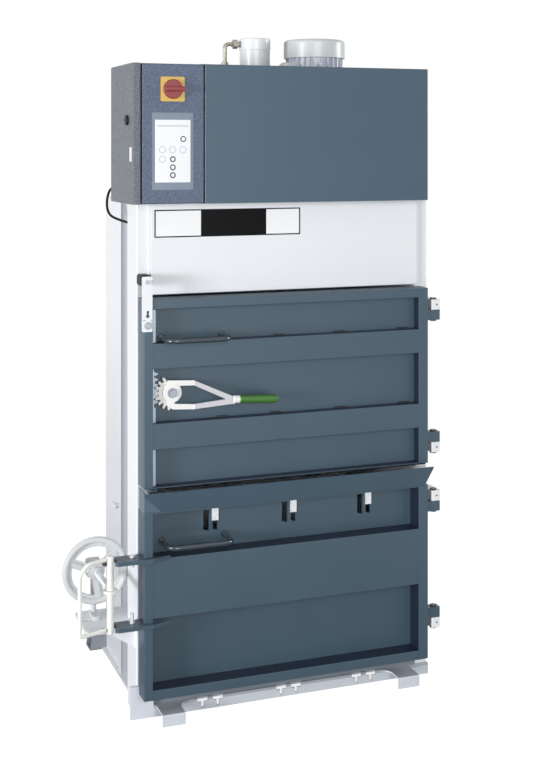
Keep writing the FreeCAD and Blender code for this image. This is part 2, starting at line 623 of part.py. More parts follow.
def deflector():
    """Bent strip on the door's top edge that leads the material in; its ends are boxed in."""
    section = [V(0, -40.0, LOWER_TOP), V(0, FRONT_Y + 1, LOWER_TOP), V(0, FRONT_Y - LIP_OUT, LOWER_TOP + LIP_RISE),
               V(0, FRONT_Y - LIP_OUT + 4.6, LOWER_TOP + LIP_RISE + 2), V(0, FRONT_Y + 4.4, LOWER_TOP + LIP_T),
               V(0, -40.0, LOWER_TOP + LIP_T)]
    shapes = []
    strip = plate([p + X * (DOOR_LEFT - 8.0) for p in section], X * (DOOR_W + 11))
    far = 300.0
    for edge, low, high in ((DOOR_LEFT, DOOR_LEFT + CHEEK_W, DOOR_LEFT - 4), (DOOR_RIGHT, DOOR_RIGHT - 12, DOOR_RIGHT + 2)):
        out = edge - 40 if edge < MIDDLE else edge + 40
        strip = strip.cut(plate([V(out, -far, LOWER_TOP + LIP_T), V(low, -far, LOWER_TOP + LIP_T),
                                 V(high, -far, LOWER_TOP + LIP_RISE - 2), V(high, -far, LOWER_TOP + LIP_RISE + 9),
                                 V(out, -far, LOWER_TOP + LIP_RISE + 9)], Y * far * 2))
        strip = strip.cut(box(min(edge, out), max(edge, out), -far, far, LOWER_TOP - 9, LOWER_TOP + LIP_T))
    shapes.append(strip)
    top = LOWER_TOP + LIP_RISE - 6
    face = plate([V(DOOR_LEFT, FRONT_Y, LOWER_TOP), V(DOOR_LEFT + CHEEK_W + 4, FRONT_Y, LOWER_TOP),
                  V(DOOR_LEFT + 4, FRONT_Y, top), V(DOOR_LEFT, FRONT_Y, top)], Y * 4)
    side = plate([V(DOOR_LEFT, FRONT_Y, LOWER_TOP), V(DOOR_LEFT, FRONT_Y, top), V(DOOR_LEFT, FRONT_Y + 12, top),
                  V(DOOR_LEFT, -40, LOWER_TOP + 20), V(DOOR_LEFT, -40, LOWER_TOP)], X * 4)
    return join(shapes + [face, side])


def strap_guides():
    """Small plates over the upper half of every second slot."""
    plates = []
    for line in STRAPS:
        plates.append(box(line + 4, line + 28, -LOWER_FLOOR - 3, -LOWER_FLOOR, SLOT_HIGH - 38, SLOT_HIGH + 6))
    return Part.makeCompound(plates)


ARM_END = -86.0          # bottom of the hooks in the arms' left ends
ARM_TIP = -96.0          # the fingers' tips
HOOK_FRONT = -93.0       # the front finger's inner face
ARM_FRONT = -105.0
ARM_BACK = -35.0
FINGER_Y = -55.0


def lock_arm(z):
    """Thick hook plate welded round the door's left edge."""
    points = [V(96, FRONT_Y, z), V(34, ARM_FRONT, z), V(ARM_TIP + 10, ARM_FRONT, z), V(ARM_TIP, HOOK_FRONT - 5, z),
              V(ARM_TIP, HOOK_FRONT, z), V(ARM_END, HOOK_FRONT, z), V(ARM_END, FINGER_Y, z),
              V(ARM_TIP, FINGER_Y, z), V(ARM_TIP, ARM_BACK, z), V(DOOR_LEFT, ARM_BACK, z), V(DOOR_LEFT, FRONT_Y, z)]
    arm = plate([p - Z * (ARM_T / 2) for p in points], Z * ARM_T)
    arm = round_edges(arm, Z, 4.0, lambda p: p.x < ARM_TIP + 1 and p.y > FINGER_Y or p.x > 30 and p.y < ARM_FRONT + 1)
    return arm.cut(rod(-30, -60, z - 20, Z, 40, 6.0))


def arm_bolts():
    """Bolt and nut through each lock arm, with the ends towards each other."""
    shapes = []
    for z, way, out in ((ARM_Z[0], 1.0, 32.0), (ARM_Z[1], -1.0, 20.0)):
        face = z - way * ARM_T / 2
        bolt = join([rod(-30, -60, face, Z * way, ARM_T + out, 6.0), hexagon(-30, -60, face - way * 7.5, Z * way, 7.5, 19.0),
                     hexagon(-30, -60, z + way * ARM_T / 2, Z * way, 10.0, 19.0)])
        shapes.append(bolt)
    return Part.makeCompound(shapes)


save("lower_door_panel", lower_door_panel())
save("lower_door_frame", lower_door_frame())
save("deflector", deflector())
save("strap_guides", strap_guides())
save("lower_handle", door_handle(DOOR_LEFT + 80.0, DOOR_LEFT + 304.0, LOWER_TOP - 116.0, -LOWER_FLOOR))
save("lock_arm_lower", lock_arm(ARM_Z[0]))
save("lock_arm_upper", lock_arm(ARM_Z[1]))
save("arm_bolts", arm_bolts())


# ---- screw lock of the lower door ----------------------------------------
GUIDE_LEFT = -168.0
GUIDE_FRONT = 12.0
GUIDE_BACK = 225.0
LOCK_OUT = 40.0          # travel of the carrier away from the arms
LOCK_IN = 10.0           # travel into the arms' hooks
CARRIER_R = 8.0
SLEEVE_R = 17.0
BLOCK_HALF = 25.0
BLOCK_FRONT = CARRIER_Y - 19.0
BLOCK_BACK = CARRIER_Y + 19.0
BAR_LOW = 330.0
BAR_HIGH = 588.0
WEB_T = 8.0              # thickness of the handwheel's web
WHEEL_IN = 84.0          # inner radius of its broad rim
THREAD_PITCH = 4.0


def guide_plate():
    """Horizontal plate on the post with a long slot for the carrier's bar."""
    z0 = GUIDE_Z - GUIDE_T / 2
    body = box(GUIDE_LEFT, 0, GUIDE_FRONT, GUIDE_BACK, z0, z0 + GUIDE_T)
    body = round_edges(body, Z, 25.0, lambda p: p.x < GUIDE_LEFT + 1)
    ear = box(-1, WALL_X, POST_D, GUIDE_BACK, z0, z0 + GUIDE_T)
    low = BAR_X - LOCK_OUT
    high = BAR_X + LOCK_IN
    half = CARRIER_R + 0.5
    slot = box(low, high, SLOT_Y - half, SLOT_Y + half, z0 - 1, z0 + GUIDE_T + 1)
    slot = slot.fuse(rod(low, SLOT_Y, z0 - 1, Z, GUIDE_T + 2, half))
    slot = slot.fuse(rod(high, SLOT_Y, z0 - 1, Z, GUIDE_T + 2, half))
    ribs = []
    for y in (GUIDE_FRONT + 6, POST_D - 26):
        ribs.append(plate([V(0, y, z0), V(-95, y, z0), V(0, y, z0 - 62)], Y * SHEET))
    return join([body.cut(slot), ear] + ribs)


def lock_carrier():
    """Block on an upright bar; a pin on its foot runs in the guide plate's slot between two collars."""
    top = GUIDE_Z + GUIDE_T / 2 + NEAR
    bottom = GUIDE_Z - GUIDE_T / 2 - NEAR
    bar = rod(BAR_X, CARRIER_Y, top + 10, Z, WHEEL_Z - top - 10, CARRIER_R + 2)
    foot = box(BAR_X - 14, BAR_X + 14, SLOT_Y - 14, CARRIER_Y + 14, top, top + 14)
    foot = round_edges(foot, Z, 8.0, lambda p: True)
    pin = rod(BAR_X, SLOT_Y, bottom - 14, Z, top + 1 - bottom + 14, CARRIER_R)
    collar = rod(BAR_X, SLOT_Y, bottom, Z * -1, 8.0, CARRIER_R + 8)
    block = box(BAR_X - BLOCK_HALF, BAR_X + BLOCK_HALF, BLOCK_FRONT, BLOCK_BACK,
                WHEEL_Z - BLOCK_HALF - 5, WHEEL_Z + BLOCK_HALF + 5)
    block = round_edges(block, Y, 8.0, lambda p: True)
    body = join([bar, block, foot, pin, collar])
    return body.cut(rod(BAR_X, BLOCK_FRONT - 1, WHEEL_Z, Y, BLOCK_BACK - BLOCK_FRONT + 2, SLEEVE_R + FIT))


def handwheel():
    """Cast wheel with a broad rim and three webs; its hub is the nut of the spindle."""
    section = []
    for i in range(12):
        angle = math.radians(30 * i + 15)
        section.append(V(BAR_X + WHEEL_R - RIM_R + RIM_R * 1.035 * math.cos(angle), WHEEL_Y + RIM_R * math.sin(angle), WHEEL_Z))
    rim = Part.Face(Part.makePolygon(section + [section[0]])).revolve(V(BAR_X, 0, WHEEL_Z), Y, 360)
    web = ring(BAR_X, WHEEL_Y - WEB_T / 2, WHEEL_Z, Y, WEB_T, WHEEL_R - RIM_R, WHEEL_IN)
    hub_front = WHEEL_Y - 13
    shapes = [rim, web, rod(BAR_X, hub_front, WHEEL_Z, Y, BLOCK_FRONT - NEAR - hub_front, 30.0),
              rod(BAR_X, hub_front - 16, WHEEL_Z, Y, 17.0, SLEEVE_R),
              rod(BAR_X, hub_front, WHEEL_Z, Y, BLOCK_BACK + NEAR - hub_front, SLEEVE_R),
              rod(BAR_X, BLOCK_BACK + NEAR, WHEEL_Z, Y, 5.0, SLEEVE_R + 5)]
    for i in range(3):
        arm = box(BAR_X - 15, BAR_X + 15, WHEEL_Y - WEB_T / 2, WHEEL_Y + WEB_T / 2, WHEEL_Z + 20, WHEEL_Z + WHEEL_IN + 8)
        rib = box(BAR_X - 5, BAR_X + 5, WHEEL_Y - 9, WHEEL_Y + 9, WHEEL_Z + 20, WHEEL_Z + WHEEL_IN + 8)
        arm = arm.fuse(rib)
        arm.rotate(V(BAR_X, 0, WHEEL_Z), Y, 172 + 120 * i)
        shapes.append(arm)
    wheel = shapes[0].multiFuse(shapes[1:])
    return wheel.cut(rod(BAR_X, -50, WHEEL_Z, Y, 300, SPINDLE_R + FIT))


def locking_bar():
    """Tube that the arms hook behind, with its lugs, loop handle and spindle."""
    tube = rod(BAR_X, BAR_Y, BAR_LOW, Z, BAR_HIGH - BAR_LOW, BAR_R)
    tube = tube.makeFillet(3.0, [e for e in tube.Edges if isinstance(e.Curve, Part.Circle)])
    shapes = [tube]
    for z in ARM_Z:
        shapes.append(box(BAR_X - BAR_R - 14, BAR_X - 4, BAR_Y - 7, BAR_Y + 7, z - 4, z + 6))
    spindle = rod(BAR_X, BAR_Y, WHEEL_Z, Y, BLOCK_BACK + 24 - BAR_Y, SPINDLE_R)
    spindle = spindle.makeChamfer(2.0, [e for e in spindle.Edges if e.CenterOfMass.y > BLOCK_BACK and
                                        isinstance(e.Curve, Part.Circle)])
    shapes.append(spindle)
    shapes.append(rod(BAR_X, BAR_Y, WHEEL_Z - 4, Z, 8.0, BAR_R + 13))
    shapes.append(rod(BAR_X, BAR_Y + BAR_R - 3, WHEEL_Z, Y, 17.0, SPINDLE_R + 5))
    turn = math.radians(15)
    out = V(-math.cos(turn), -math.sin(turn), 0)
    axis = V(BAR_X, BAR_Y, 0)
    top = BAR_HIGH - 8
    path = [axis + Z * top, axis + out * 84 + Z * (top - 6), axis + out * 112 + Z * (top - 36),
            axis + out * 112 + Z * (BAR_LOW + 11), axis + Z * (BAR_LOW + 17)]
    shapes.append(bent_rod(path, [32.0, 30.0, 13.0], 7.0))
    return shapes[0].multiFuse(shapes[1:])


def stop_screw():
    """Set screw that ends the guide plate's slot."""
    return hexagon(GUIDE_LEFT - 6, SLOT_Y, GUIDE_Z, X, 6.0, 15.0)


save("guide_plate", guide_plate())
save("stop_screw", stop_screw())
save("lock_carrier", lock_carrier())
save("handwheel", handwheel())
save("locking_bar", locking_bar())


# ---- upper front: panel, label, door tongue and limit switch ---------------
PANEL_LOW = UPPER_TOP + 7.0
CHAMBER_TOP = FRAME_H - SHEET


def front_panel():
    """Sheet between the posts with a fold that closes its lower edge."""
    sheet = box(POST_W, RIGHT_POST, -BASE_FRONT, -BASE_FRONT + SHEET, PANEL_LOW, FRAME_H)
    back = 20.0
    fold = box(POST_W, RIGHT_POST, -BASE_FRONT, back, PANEL_LOW, PANEL_LOW + SHEET)
    sides = [box(POST_W, POST_W + SHEET, -BASE_FRONT, back, PANEL_LOW, FRAME_H),
             box(RIGHT_POST - SHEET, RIGHT_POST, -BASE_FRONT, back, PANEL_LOW, FRAME_H)]
    panel = join([sheet, fold] + sides)
    return round_edges(panel, X, 4.0, lambda p: p.y < -BASE_FRONT + 0.1 and p.z < PANEL_LOW + 0.1)


def door_tongue():
    """Plate on the upper door's corner that reaches up to the limit switch."""
    body = box(-3, 33, FRONT_Y - 4, FRONT_Y, UPPER_TOP - 107, UPPER_TOP + 78)
    body = round_edges(body, Y, 5.0, lambda p: True)
    slot = join([rod(17, FRONT_Y - 5, UPPER_TOP - 41, Y, 6, 5.0), rod(17, FRONT_Y - 5, UPPER_TOP - 54, Y, 6, 6.5),
                 box(13.5, 20.5, FRONT_Y - 5, FRONT_Y + 1, UPPER_TOP - 54, UPPER_TOP - 41)])
    return body.cut(slot)


def tongue_screws():
    """Round-headed screws of the tongue."""
    heads = [rod(16, FRONT_Y - 8, UPPER_TOP + 59, Y, 4.0, 7.5), rod(17, FRONT_Y - 10, UPPER_TOP - 86, Y, 6.0, 12.0),
             rod(3, FRONT_Y - 6, UPPER_TOP - 68, Y, 2.0, 2.5), rod(29, FRONT_Y - 6, UPPER_TOP - 68, Y, 2.0, 2.5)]
    heads[1] = heads[1].makeFillet(2.5, [e for e in heads[1].Edges if e.CenterOfMass.y < FRONT_Y - 9])
    return Part.makeCompound(heads)


def limit_switch():
    """Switch housing on the left post with two round ends that face the tongue."""
    depth = -FRONT_Y - 2.0
    body = box(1, 38, -depth + 26, 0, UPPER_TOP + 42, UPPER_TOP + 80)
    body = round_edges(body, Y, 8.0, lambda p: True)
    for x in (11.0, 28.0):
        body = body.fuse(rod(x, -depth, UPPER_TOP + 61, Y, 30, 8.0))
    return body


save("front_panel", front_panel())
save("label_plate", box(60, 594, -BASE_FRONT - 1.0, -BASE_FRONT, FRAME_H - 117, FRAME_H - 22))
save("door_tongue", door_tongue())
save("tongue_screws", tongue_screws())
save("limit_switch", limit_switch())


# ---- head: deck, beams, cover, cylinder, ram and motor ---------------------
BORE_R = CYL_R - 11.0
ROD_R = 30.0
FLANGE_HALF = 90.0
BEAM_H = 120.0
BEAM_LOW = CHAMBER_TOP - BEAM_H
BARREL_LOW = BEAM_LOW - 85.0
HEAD_BACK = BODY_D
COWL_H = 69.0


def deck():
    """Top plate over the chamber with the cylinder's hole."""
    plate_top = box(POST_W, RIGHT_POST, POST_D, BODY_D - SHEET, CHAMBER_TOP, FRAME_H)
    return plate_top.cut(rod(CYL_X, CYL_Y, CHAMBER_TOP - 1, Z, SHEET + 2, CYL_R))


def beams():
    """Two channels from wall to wall that carry the cylinder's flange."""
    shapes = []
    for side in (-1.0, 1.0):
        near = CYL_Y + side * (CYL_R + 3)
        far = near + side * 60
        body = box(POST_W, RIGHT_POST, min(near, far), max(near, far), BEAM_LOW, CHAMBER_TOP)
        inside = near + side * 8
        hollow = box(POST_W - 1, RIGHT_POST + 1, min(inside, far + side), max(inside, far + side),
                     BEAM_LOW + 8, CHAMBER_TOP - 8)
        shapes.append(body.cut(hollow))
    return Part.makeCompound(shapes)


def head_cover():
    """Folded hood over the drive, open below, with holes in its roof."""
    outer = box(CABINET_RIGHT, HEAD_RIGHT, FRONT_Y, HEAD_BACK, FRAME_H, TOP)
    outer = outer.makeFillet(3.0, edges_along(outer, X, lambda p: p.z > TOP - 1) +
                             edges_along(outer, Z, lambda p: p.y < FRONT_Y + 1) +
                             edges_along(outer, Y, lambda p: p.z > TOP - 1))
    hollow = box(CABINET_RIGHT + SKIN, HEAD_RIGHT - SKIN, FRONT_Y + SKIN, HEAD_BACK - SKIN, FRAME_H - 1, TOP - SKIN)
    cover = outer.cut(hollow)
    cover = join([cover, box(CABINET_RIGHT, HEAD_RIGHT, FRONT_Y + SKIN, 0, FRAME_H, FRAME_H + SKIN)])
    holes = [rod(CYL_X, CYL_Y, TOP - SKIN - 1, Z, SKIN + 2, CYL_R), rod(MOTOR_X, CYL_Y, TOP - SKIN - 1, Z, SKIN + 2, MOTOR_R + 6),
             rod(FITTING_X, CYL_Y, TOP - SKIN - 1, Z, SKIN + 2, 8.0)]
    return cover.cut(holes[0].multiFuse(holes[1:]))


FITTING_X = CYL_X - CYL_R - 62.0


def cylinder():
    """Barrel with its bore, end cap and the flange that hangs it in the beams."""
    barrel = ring(CYL_X, CYL_Y, BARREL_LOW, Z, CYL_TOP - 40 - BARREL_LOW, CYL_R, BORE_R)
    cap = rod(CYL_X, CYL_Y, CYL_TOP - 40, Z, 40, CYL_R + 1.5)
    cap = cap.makeFillet(5.0, [e for e in cap.Edges if e.CenterOfMass.z > CYL_TOP - 1])
    gland = ring(CYL_X, CYL_Y, BARREL_LOW, Z, 45, CYL_R, ROD_R + FIT)
    flange = box(CYL_X - FLANGE_HALF, CYL_X + FLANGE_HALF, CYL_Y - FLANGE_HALF, CYL_Y + FLANGE_HALF,
                 BEAM_LOW - 20, BEAM_LOW)
    flange = round_edges(flange, Z, 12.0, lambda p: True).cut(rod(CYL_X, CYL_Y, BEAM_LOW - 21, Z, 22, BORE_R))
    return join([barrel, cap, gland, flange])


def cylinder_fitting():
    """Hexagon union on the cap, bent tube and the nut where it enters the hood."""
    z = CYL_TOP - 22.0
    side = CYL_X - CYL_R - 1.5
    stub = rod(side - 12, CYL_Y, z, X, 12.0, 11.0)
    union = hexagon(side - 30, CYL_Y, z, X, 18.0, 30.0)
    path = [V(side - 30, CYL_Y, z), V(FITTING_X, CYL_Y, z), V(FITTING_X, CYL_Y, TOP - 60)]
    tube = bent_rod(path, [16.0], 7.5)
    nut = rod(FITTING_X, CYL_Y, TOP, Z, 34.0, 13.0)
    nut = nut.makeChamfer(2.5, [e for e in nut.Edges if e.CenterOfMass.z > TOP + 30])
    return join([stub, union, tube, nut])


def ram_plate():
    """Press plate with bars below for the straps and ribs above."""
    x0 = POST_W + 11
    x1 = RIGHT_POST - 11
    y0 = POST_D - 100
    y1 = BODY_D - SHEET - 12
    body = box(x0, x1, y0, y1, RAM_BOTTOM + CHANNEL_H, RAM_BOTTOM + CHANNEL_H + 12)
    shapes = [body]
    for line in STRAPS:
        for step in (-STRAP_HALF, STRAP_HALF):
            shapes.append(box(line + step - 12, line + step + 12, y0, y1, RAM_BOTTOM, RAM_BOTTOM + CHANNEL_H))
    top = RAM_BOTTOM + CHANNEL_H + 12
    for y in (CYL_Y - 50, CYL_Y + 38):
        shapes.append(box(x0, x1, y, y + 12, top, top + 60))
    for x in (CYL_X - 50, CYL_X + 38):
        shapes.append(box(x, x + 12, y0, y1, top, top + 60))
    return join(shapes)


def ram_rod():
    """Piston rod with a foot on the plate and the piston in the bore."""
    low = RAM_BOTTOM + CHANNEL_H + 12
    piston_top = CYL_TOP - 60
    foot = rod(CYL_X, CYL_Y, low, Z, 16.0, 37.0)
    return join([foot, rod(CYL_X, CYL_Y, low, Z, piston_top - low, ROD_R),
                 rod(CYL_X, CYL_Y, piston_top - 40, Z, 40.0, BORE_R - NEAR)])


def motor():
    """Ribbed motor that stands through the roof, with its terminal box."""
    low = FRAME_H + 60.0
    high = CYL_TOP - COWL_H
    body = rod(MOTOR_X, CYL_Y, low, Z, high - low, MOTOR_R - 22)
    fins = []
    for i in range(28):
        fin = box(MOTOR_X + MOTOR_R - 26, MOTOR_X + MOTOR_R - 8, CYL_Y - 2, CYL_Y + 2, low + 30, high)
        fin.rotate(V(MOTOR_X, CYL_Y, 0), Z, 360.0 * (i + 0.5) / 28)
        fins.append(fin)
    foot = box(MOTOR_X - 110, MOTOR_X + 110, CYL_Y - 110, CYL_Y + 110, FRAME_H, low)
    box_side = box(MOTOR_X - MOTOR_R - 15, MOTOR_X - MOTOR_R + 40, CYL_Y - 50, CYL_Y + 50, TOP + 8, TOP + 40)
    box_side = box_side.cut(plate([V(MOTOR_X - MOTOR_R - 16, CYL_Y - 60, TOP + 24), V(MOTOR_X - MOTOR_R + 4, CYL_Y - 60, TOP + 41),
                                   V(MOTOR_X - MOTOR_R - 16, CYL_Y - 60, TOP + 41)], Y * 120))
    return join([body, foot, box_side] + fins)


def fan_cowl():
    """Cup over the fan with slots round its top."""
    low = CYL_TOP - COWL_H
    outer = rod(MOTOR_X, CYL_Y, low, Z, COWL_H, MOTOR_R)
    outer = outer.makeFillet(14.0, [e for e in outer.Edges if e.CenterOfMass.z > CYL_TOP - 1])
    inner = rod(MOTOR_X, CYL_Y, low - 1, Z, COWL_H - 2, MOTOR_R - SKIN)
    inner = inner.makeFillet(12.0, [e for e in inner.Edges if e.CenterOfMass.z > CYL_TOP - 10])
    cowl = outer.cut(inner)
    slots = []
    for row, count in ((34.0, 10), (56.0, 16), (78.0, 22)):
        for i in range(count):
            slot = box(MOTOR_X + row, MOTOR_X + row + 14, CYL_Y - 3, CYL_Y + 3, CYL_TOP - 5, CYL_TOP + 1)
            slot.rotate(V(MOTOR_X, CYL_Y, 0), Z, 360.0 * i / count)
            slots.append(slot)
    cowl = cowl.cut(slots[0].multiFuse(slots[1:]))
    ring_in = ring(MOTOR_X, CYL_Y, low, Z, 6.0, MOTOR_R - 1, MOTOR_R - 24)
    return join([cowl, ring_in])


def motor_fan():
    """Fan on the motor's shaft, with flat blades."""
    low = CYL_TOP - COWL_H
    shapes = [rod(MOTOR_X, CYL_Y, low + NEAR, Z, 42.0, 24.0), rod(MOTOR_X, CYL_Y, low + 10, Z, 4.0, 80.0)]
    for i in range(8):
        blade = box(MOTOR_X + 20, MOTOR_X + 84, CYL_Y - 1.5, CYL_Y + 1.5, low + 10, low + 42)
        blade.rotate(V(MOTOR_X, CYL_Y, 0), Z, 45.0 * i)
        shapes.append(blade)
    return shapes[0].multiFuse(shapes[1:])


save("deck", join([deck()] + beams().Solids))
save("head_cover", head_cover())
save("cylinder", cylinder())
save("cylinder_fitting", cylinder_fitting())
save("ram_plate", ram_plate())
save("ram_rod", ram_rod())
save("motor", motor())
save("fan_cowl", fan_cowl())
save("motor_fan", motor_fan())


# ---- switch cabinet --------------------------------------------------------
DOOR_X0 = CABINET_LEFT + 32.0
SWITCH_X = DOOR_X0 + 104.5
SWITCH_Z = TOP - 87.0
KEYPAD = (DOOR_X0 + 33.0, DOOR_X0 + 178.0, TOP - 427.0, TOP - 166.0)
CAB_DOOR_BACK = FRONT_Y + CABINET_DOOR_T


AXIS_X = CABINET_RIGHT - 7.5
AXIS_Y = FRONT_Y + 6.0
PIVOT_R = 2.5


def cabinet_body():
    """Hollow cabinet with a strip beside its door, and ears with the door's pivot pins."""
    shell = box(CABINET_LEFT, CABINET_RIGHT, CAB_DOOR_BACK + NEAR, CABINET_BACK, FRAME_H, TOP)
    strip = box(CABINET_LEFT, DOOR_X0 - 7, FRONT_Y, CAB_DOOR_BACK + NEAR, FRAME_H, TOP)
    shell = join([shell, strip])
    shell = shell.makeFillet(3.0, edges_along(shell, Z, lambda p: p.x < CABINET_LEFT + 1 or p.y < FRONT_Y + 1 and p.x < DOOR_X0 - 4))
    hollow = box(CABINET_LEFT + SKIN, CABINET_RIGHT - SKIN, CAB_DOOR_BACK + NEAR + SKIN, CABINET_BACK - SKIN,
                 FRAME_H + SKIN, TOP - SKIN)
    mouth = box(DOOR_X0 + 14, CABINET_RIGHT - 16, CAB_DOOR_BACK - 1, CAB_DOOR_BACK + 10, FRAME_H + 16, TOP - 16)
    shell = shell.cut(hollow).cut(mouth)
    lock_hole = rod(CABINET_LEFT - 1, LOCK_Y, LOCK_Z, X, SKIN + 2, 8.0 + FIT)
    shell = shell.cut(lock_hole)
    for z, low, way in ((FRAME_H, FRAME_H, 1.0), (TOP, TOP - 1.6, -1.0)):
        ear = box(AXIS_X - 6, CABINET_RIGHT, AXIS_Y - 5, CAB_DOOR_BACK + NEAR + 1, low, low + 1.6)
        shell = shell.fuse(ear).fuse(rod(AXIS_X, AXIS_Y, z, Z * way, 14.0, PIVOT_R))
    return shell


LOCK_Y = FRONT_Y + 74.0
LOCK_Z = TOP - 191.0


def cabinet_door():
    """Folded door with a sunk place for the keypad."""
    right = CABINET_RIGHT - 4.5
    body = box(DOOR_X0, right, FRONT_Y, CAB_DOOR_BACK, FRAME_H + 2, TOP - 2)
    front = edges_along(body, X, lambda p: p.y < FRONT_Y + 1) + edges_along(body, Z, lambda p: p.y < FRONT_Y + 1)
    body = body.makeFillet(3.0, front)
    body = round_edges(body, Z, 1.5, lambda p: p.x > right - 0.1 and p.y > CAB_DOOR_BACK - 0.1)
    hollow = box(DOOR_X0 + SKIN, right - SKIN, FRONT_Y + SKIN + 3, CAB_DOOR_BACK + 1, FRAME_H + 5, TOP - 5)
    for z in (FRAME_H, TOP - 20):
        hollow = hollow.cut(box(AXIS_X - 6, right, FRONT_Y, CAB_DOOR_BACK, z, z + 20))
    body = body.cut(hollow)
    for z in (FRAME_H, TOP - 15):
        body = body.cut(rod(AXIS_X, AXIS_Y, z, Z, 15, PIVOT_R + FIT))
    x0, x1, z0, z1 = KEYPAD
    body = body.cut(box(x0, x1, FRONT_Y - 1, FRONT_Y + 3, z0, z1))
    return body.cut(rod(SWITCH_X, FRONT_Y - 1, SWITCH_Z, Y, 12, 9.0 + FIT))


def keypad():
    """Membrane panel: a frame with a raised foil."""
    x0, x1, z0, z1 = KEYPAD
    frame = box(x0 + NEAR, x1 - NEAR, FRONT_Y + 1, FRONT_Y + 3, z0 + NEAR, z1 - NEAR)
    foil = box(x0 + 10.5, x1 - 10.5, FRONT_Y - 0.5, FRONT_Y + 1, z0 + 25.5, z1 - 24.5)
    return join([frame, foil])


def main_switch():
    """Round knob with a grip bar and the shaft that goes through the door."""
    front = FRONT_Y - 4.0
    knob = rod(SWITCH_X, front - 12, SWITCH_Z, Y, 12.0 - NEAR, 33.0)
    knob = knob.makeFillet(3.0, [e for e in knob.Edges if e.CenterOfMass.y < front - 11])
    bar = box(SWITCH_X - 31, SWITCH_X + 36, front - 32, front - 12, SWITCH_Z - 8, SWITCH_Z + 8)
    bar = bar.makeFillet(4.0, edges_along(bar, Y, lambda p: True) + edges_along(bar, X, lambda p: p.y < front - 31))
    shaft = rod(SWITCH_X, front - 12, SWITCH_Z, Y, 30.0, 9.0)
    return join([knob, bar, shaft])


def cabinet_lock():
    """Quarter-turn lock with its driver slot and the cam inside."""
    head = rod(CABINET_LEFT - 8, LOCK_Y, LOCK_Z, X, 8.0 - NEAR, 17.0)
    head = head.makeFillet(2.0, [e for e in head.Edges if e.CenterOfMass.x < CABINET_LEFT - 7])
    head = head.cut(box(CABINET_LEFT - 9, CABINET_LEFT - 5, LOCK_Y - 10, LOCK_Y + 10, LOCK_Z - 2, LOCK_Z + 2))
    core = rod(CABINET_LEFT - 8 + 4, LOCK_Y, LOCK_Z, X, 22.0, 8.0)
    cam = box(CABINET_LEFT + 12, CABINET_LEFT + 16, LOCK_Y - 9, LOCK_Y + 9, LOCK_Z - 9, LOCK_Z + 34)
    return join([head, core, cam])


yellow = box(SWITCH_X - 41.5, SWITCH_X + 41.5, FRONT_Y - 4, FRONT_Y, SWITCH_Z - 41.5, SWITCH_Z + 41.5)
yellow = round_edges(yellow, Y, 4.0, lambda p: True).cut(rod(SWITCH_X, FRONT_Y - 5, SWITCH_Z, Y, 6, 12.0))
save("cabinet_body", cabinet_body())
save("cabinet_door", cabinet_door())
save("keypad", keypad())
save("switch_plate", yellow)
save("main_switch", main_switch())
save("cabinet_lock", cabinet_lock())
save("type_plate", box(CABINET_LEFT - 0.8, CABINET_LEFT, LOCK_Y - 58, LOCK_Y - 28, LOCK_Z - 140, LOCK_Z - 92))


# ---- motor cable from the cabinet to the left post -------------------------
GLAND_R = 9.0
GLAND_TOP = V(-20, CABINET_BACK, FRAME_H + 46)
GLAND_POST = V(16, POST_D, FRAME_H - 75)
CABLE_POINTS = [GLAND_TOP + Y * 6, V(-22, CABINET_BACK + 38.5, FRAME_H + 46), V(-27, CABINET_BACK + 65, FRAME_H + 27),
                V(-31, CABINET_BACK + 75, FRAME_H - 4), V(-31, CABINET_BACK + 65, FRAME_H - 35),
                V(-26, CABINET_BACK + 38.5, FRAME_H - 54), V(-14, CABINET_BACK + 1, FRAME_H - 63),
                V(4, CABINET_BACK - 44, FRAME_H - 71), GLAND_POST + Y * 18]


def cable():
    """Straight runs joined by tangent arcs; the radii are printed."""
    bends = []
    for i in range(1, len(CABLE_POINTS) - 1):
        a = CABLE_POINTS[i] - CABLE_POINTS[i - 1]
        b = CABLE_POINTS[i + 1] - CABLE_POINTS[i]
        half = a.getAngle(b) / 2.0
        bends.append(0.45 * min(a.Length, b.Length) / math.tan(half))
    print("cable bend radii", [round(r, 1) for r in bends])
    return bent_rod(CABLE_POINTS, bends, CABLE_R)


def cable_glands():
    """Short glands where the cable leaves the cabinet and enters the post."""
    first = rod(GLAND_TOP.x, GLAND_TOP.y, GLAND_TOP.z, Y, 6.0, GLAND_R)
    last = rod(GLAND_POST.x, GLAND_POST.y, GLAND_POST.z, Y, 18.0, GLAND_R)
    return Part.makeCompound([first, last])


tube = cable()
save("cable", tube)
print("cable length by volume %.1f mm" % (tube.Volume / (math.pi * CABLE_R ** 2)))
save("cable_glands", cable_glands())
print("shift", SHIFT)
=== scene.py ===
# %% [markdown]
# # Dressing a recycling baler
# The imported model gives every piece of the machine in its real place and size.
# This script lights it, looks at it from the photograph's side, paints each
# piece with a procedural material and adds what is too fine for the solids:
# the screw thread, weld beads, small screws and the cable.

# %% [markdown]
# Load the fixed model first. Its nodes sit at the origin and keep their place
# in their meshes, so every size below is in metres in the same frame.

import json
import math

import bmesh
import bpy
from mathutils import Matrix, Vector


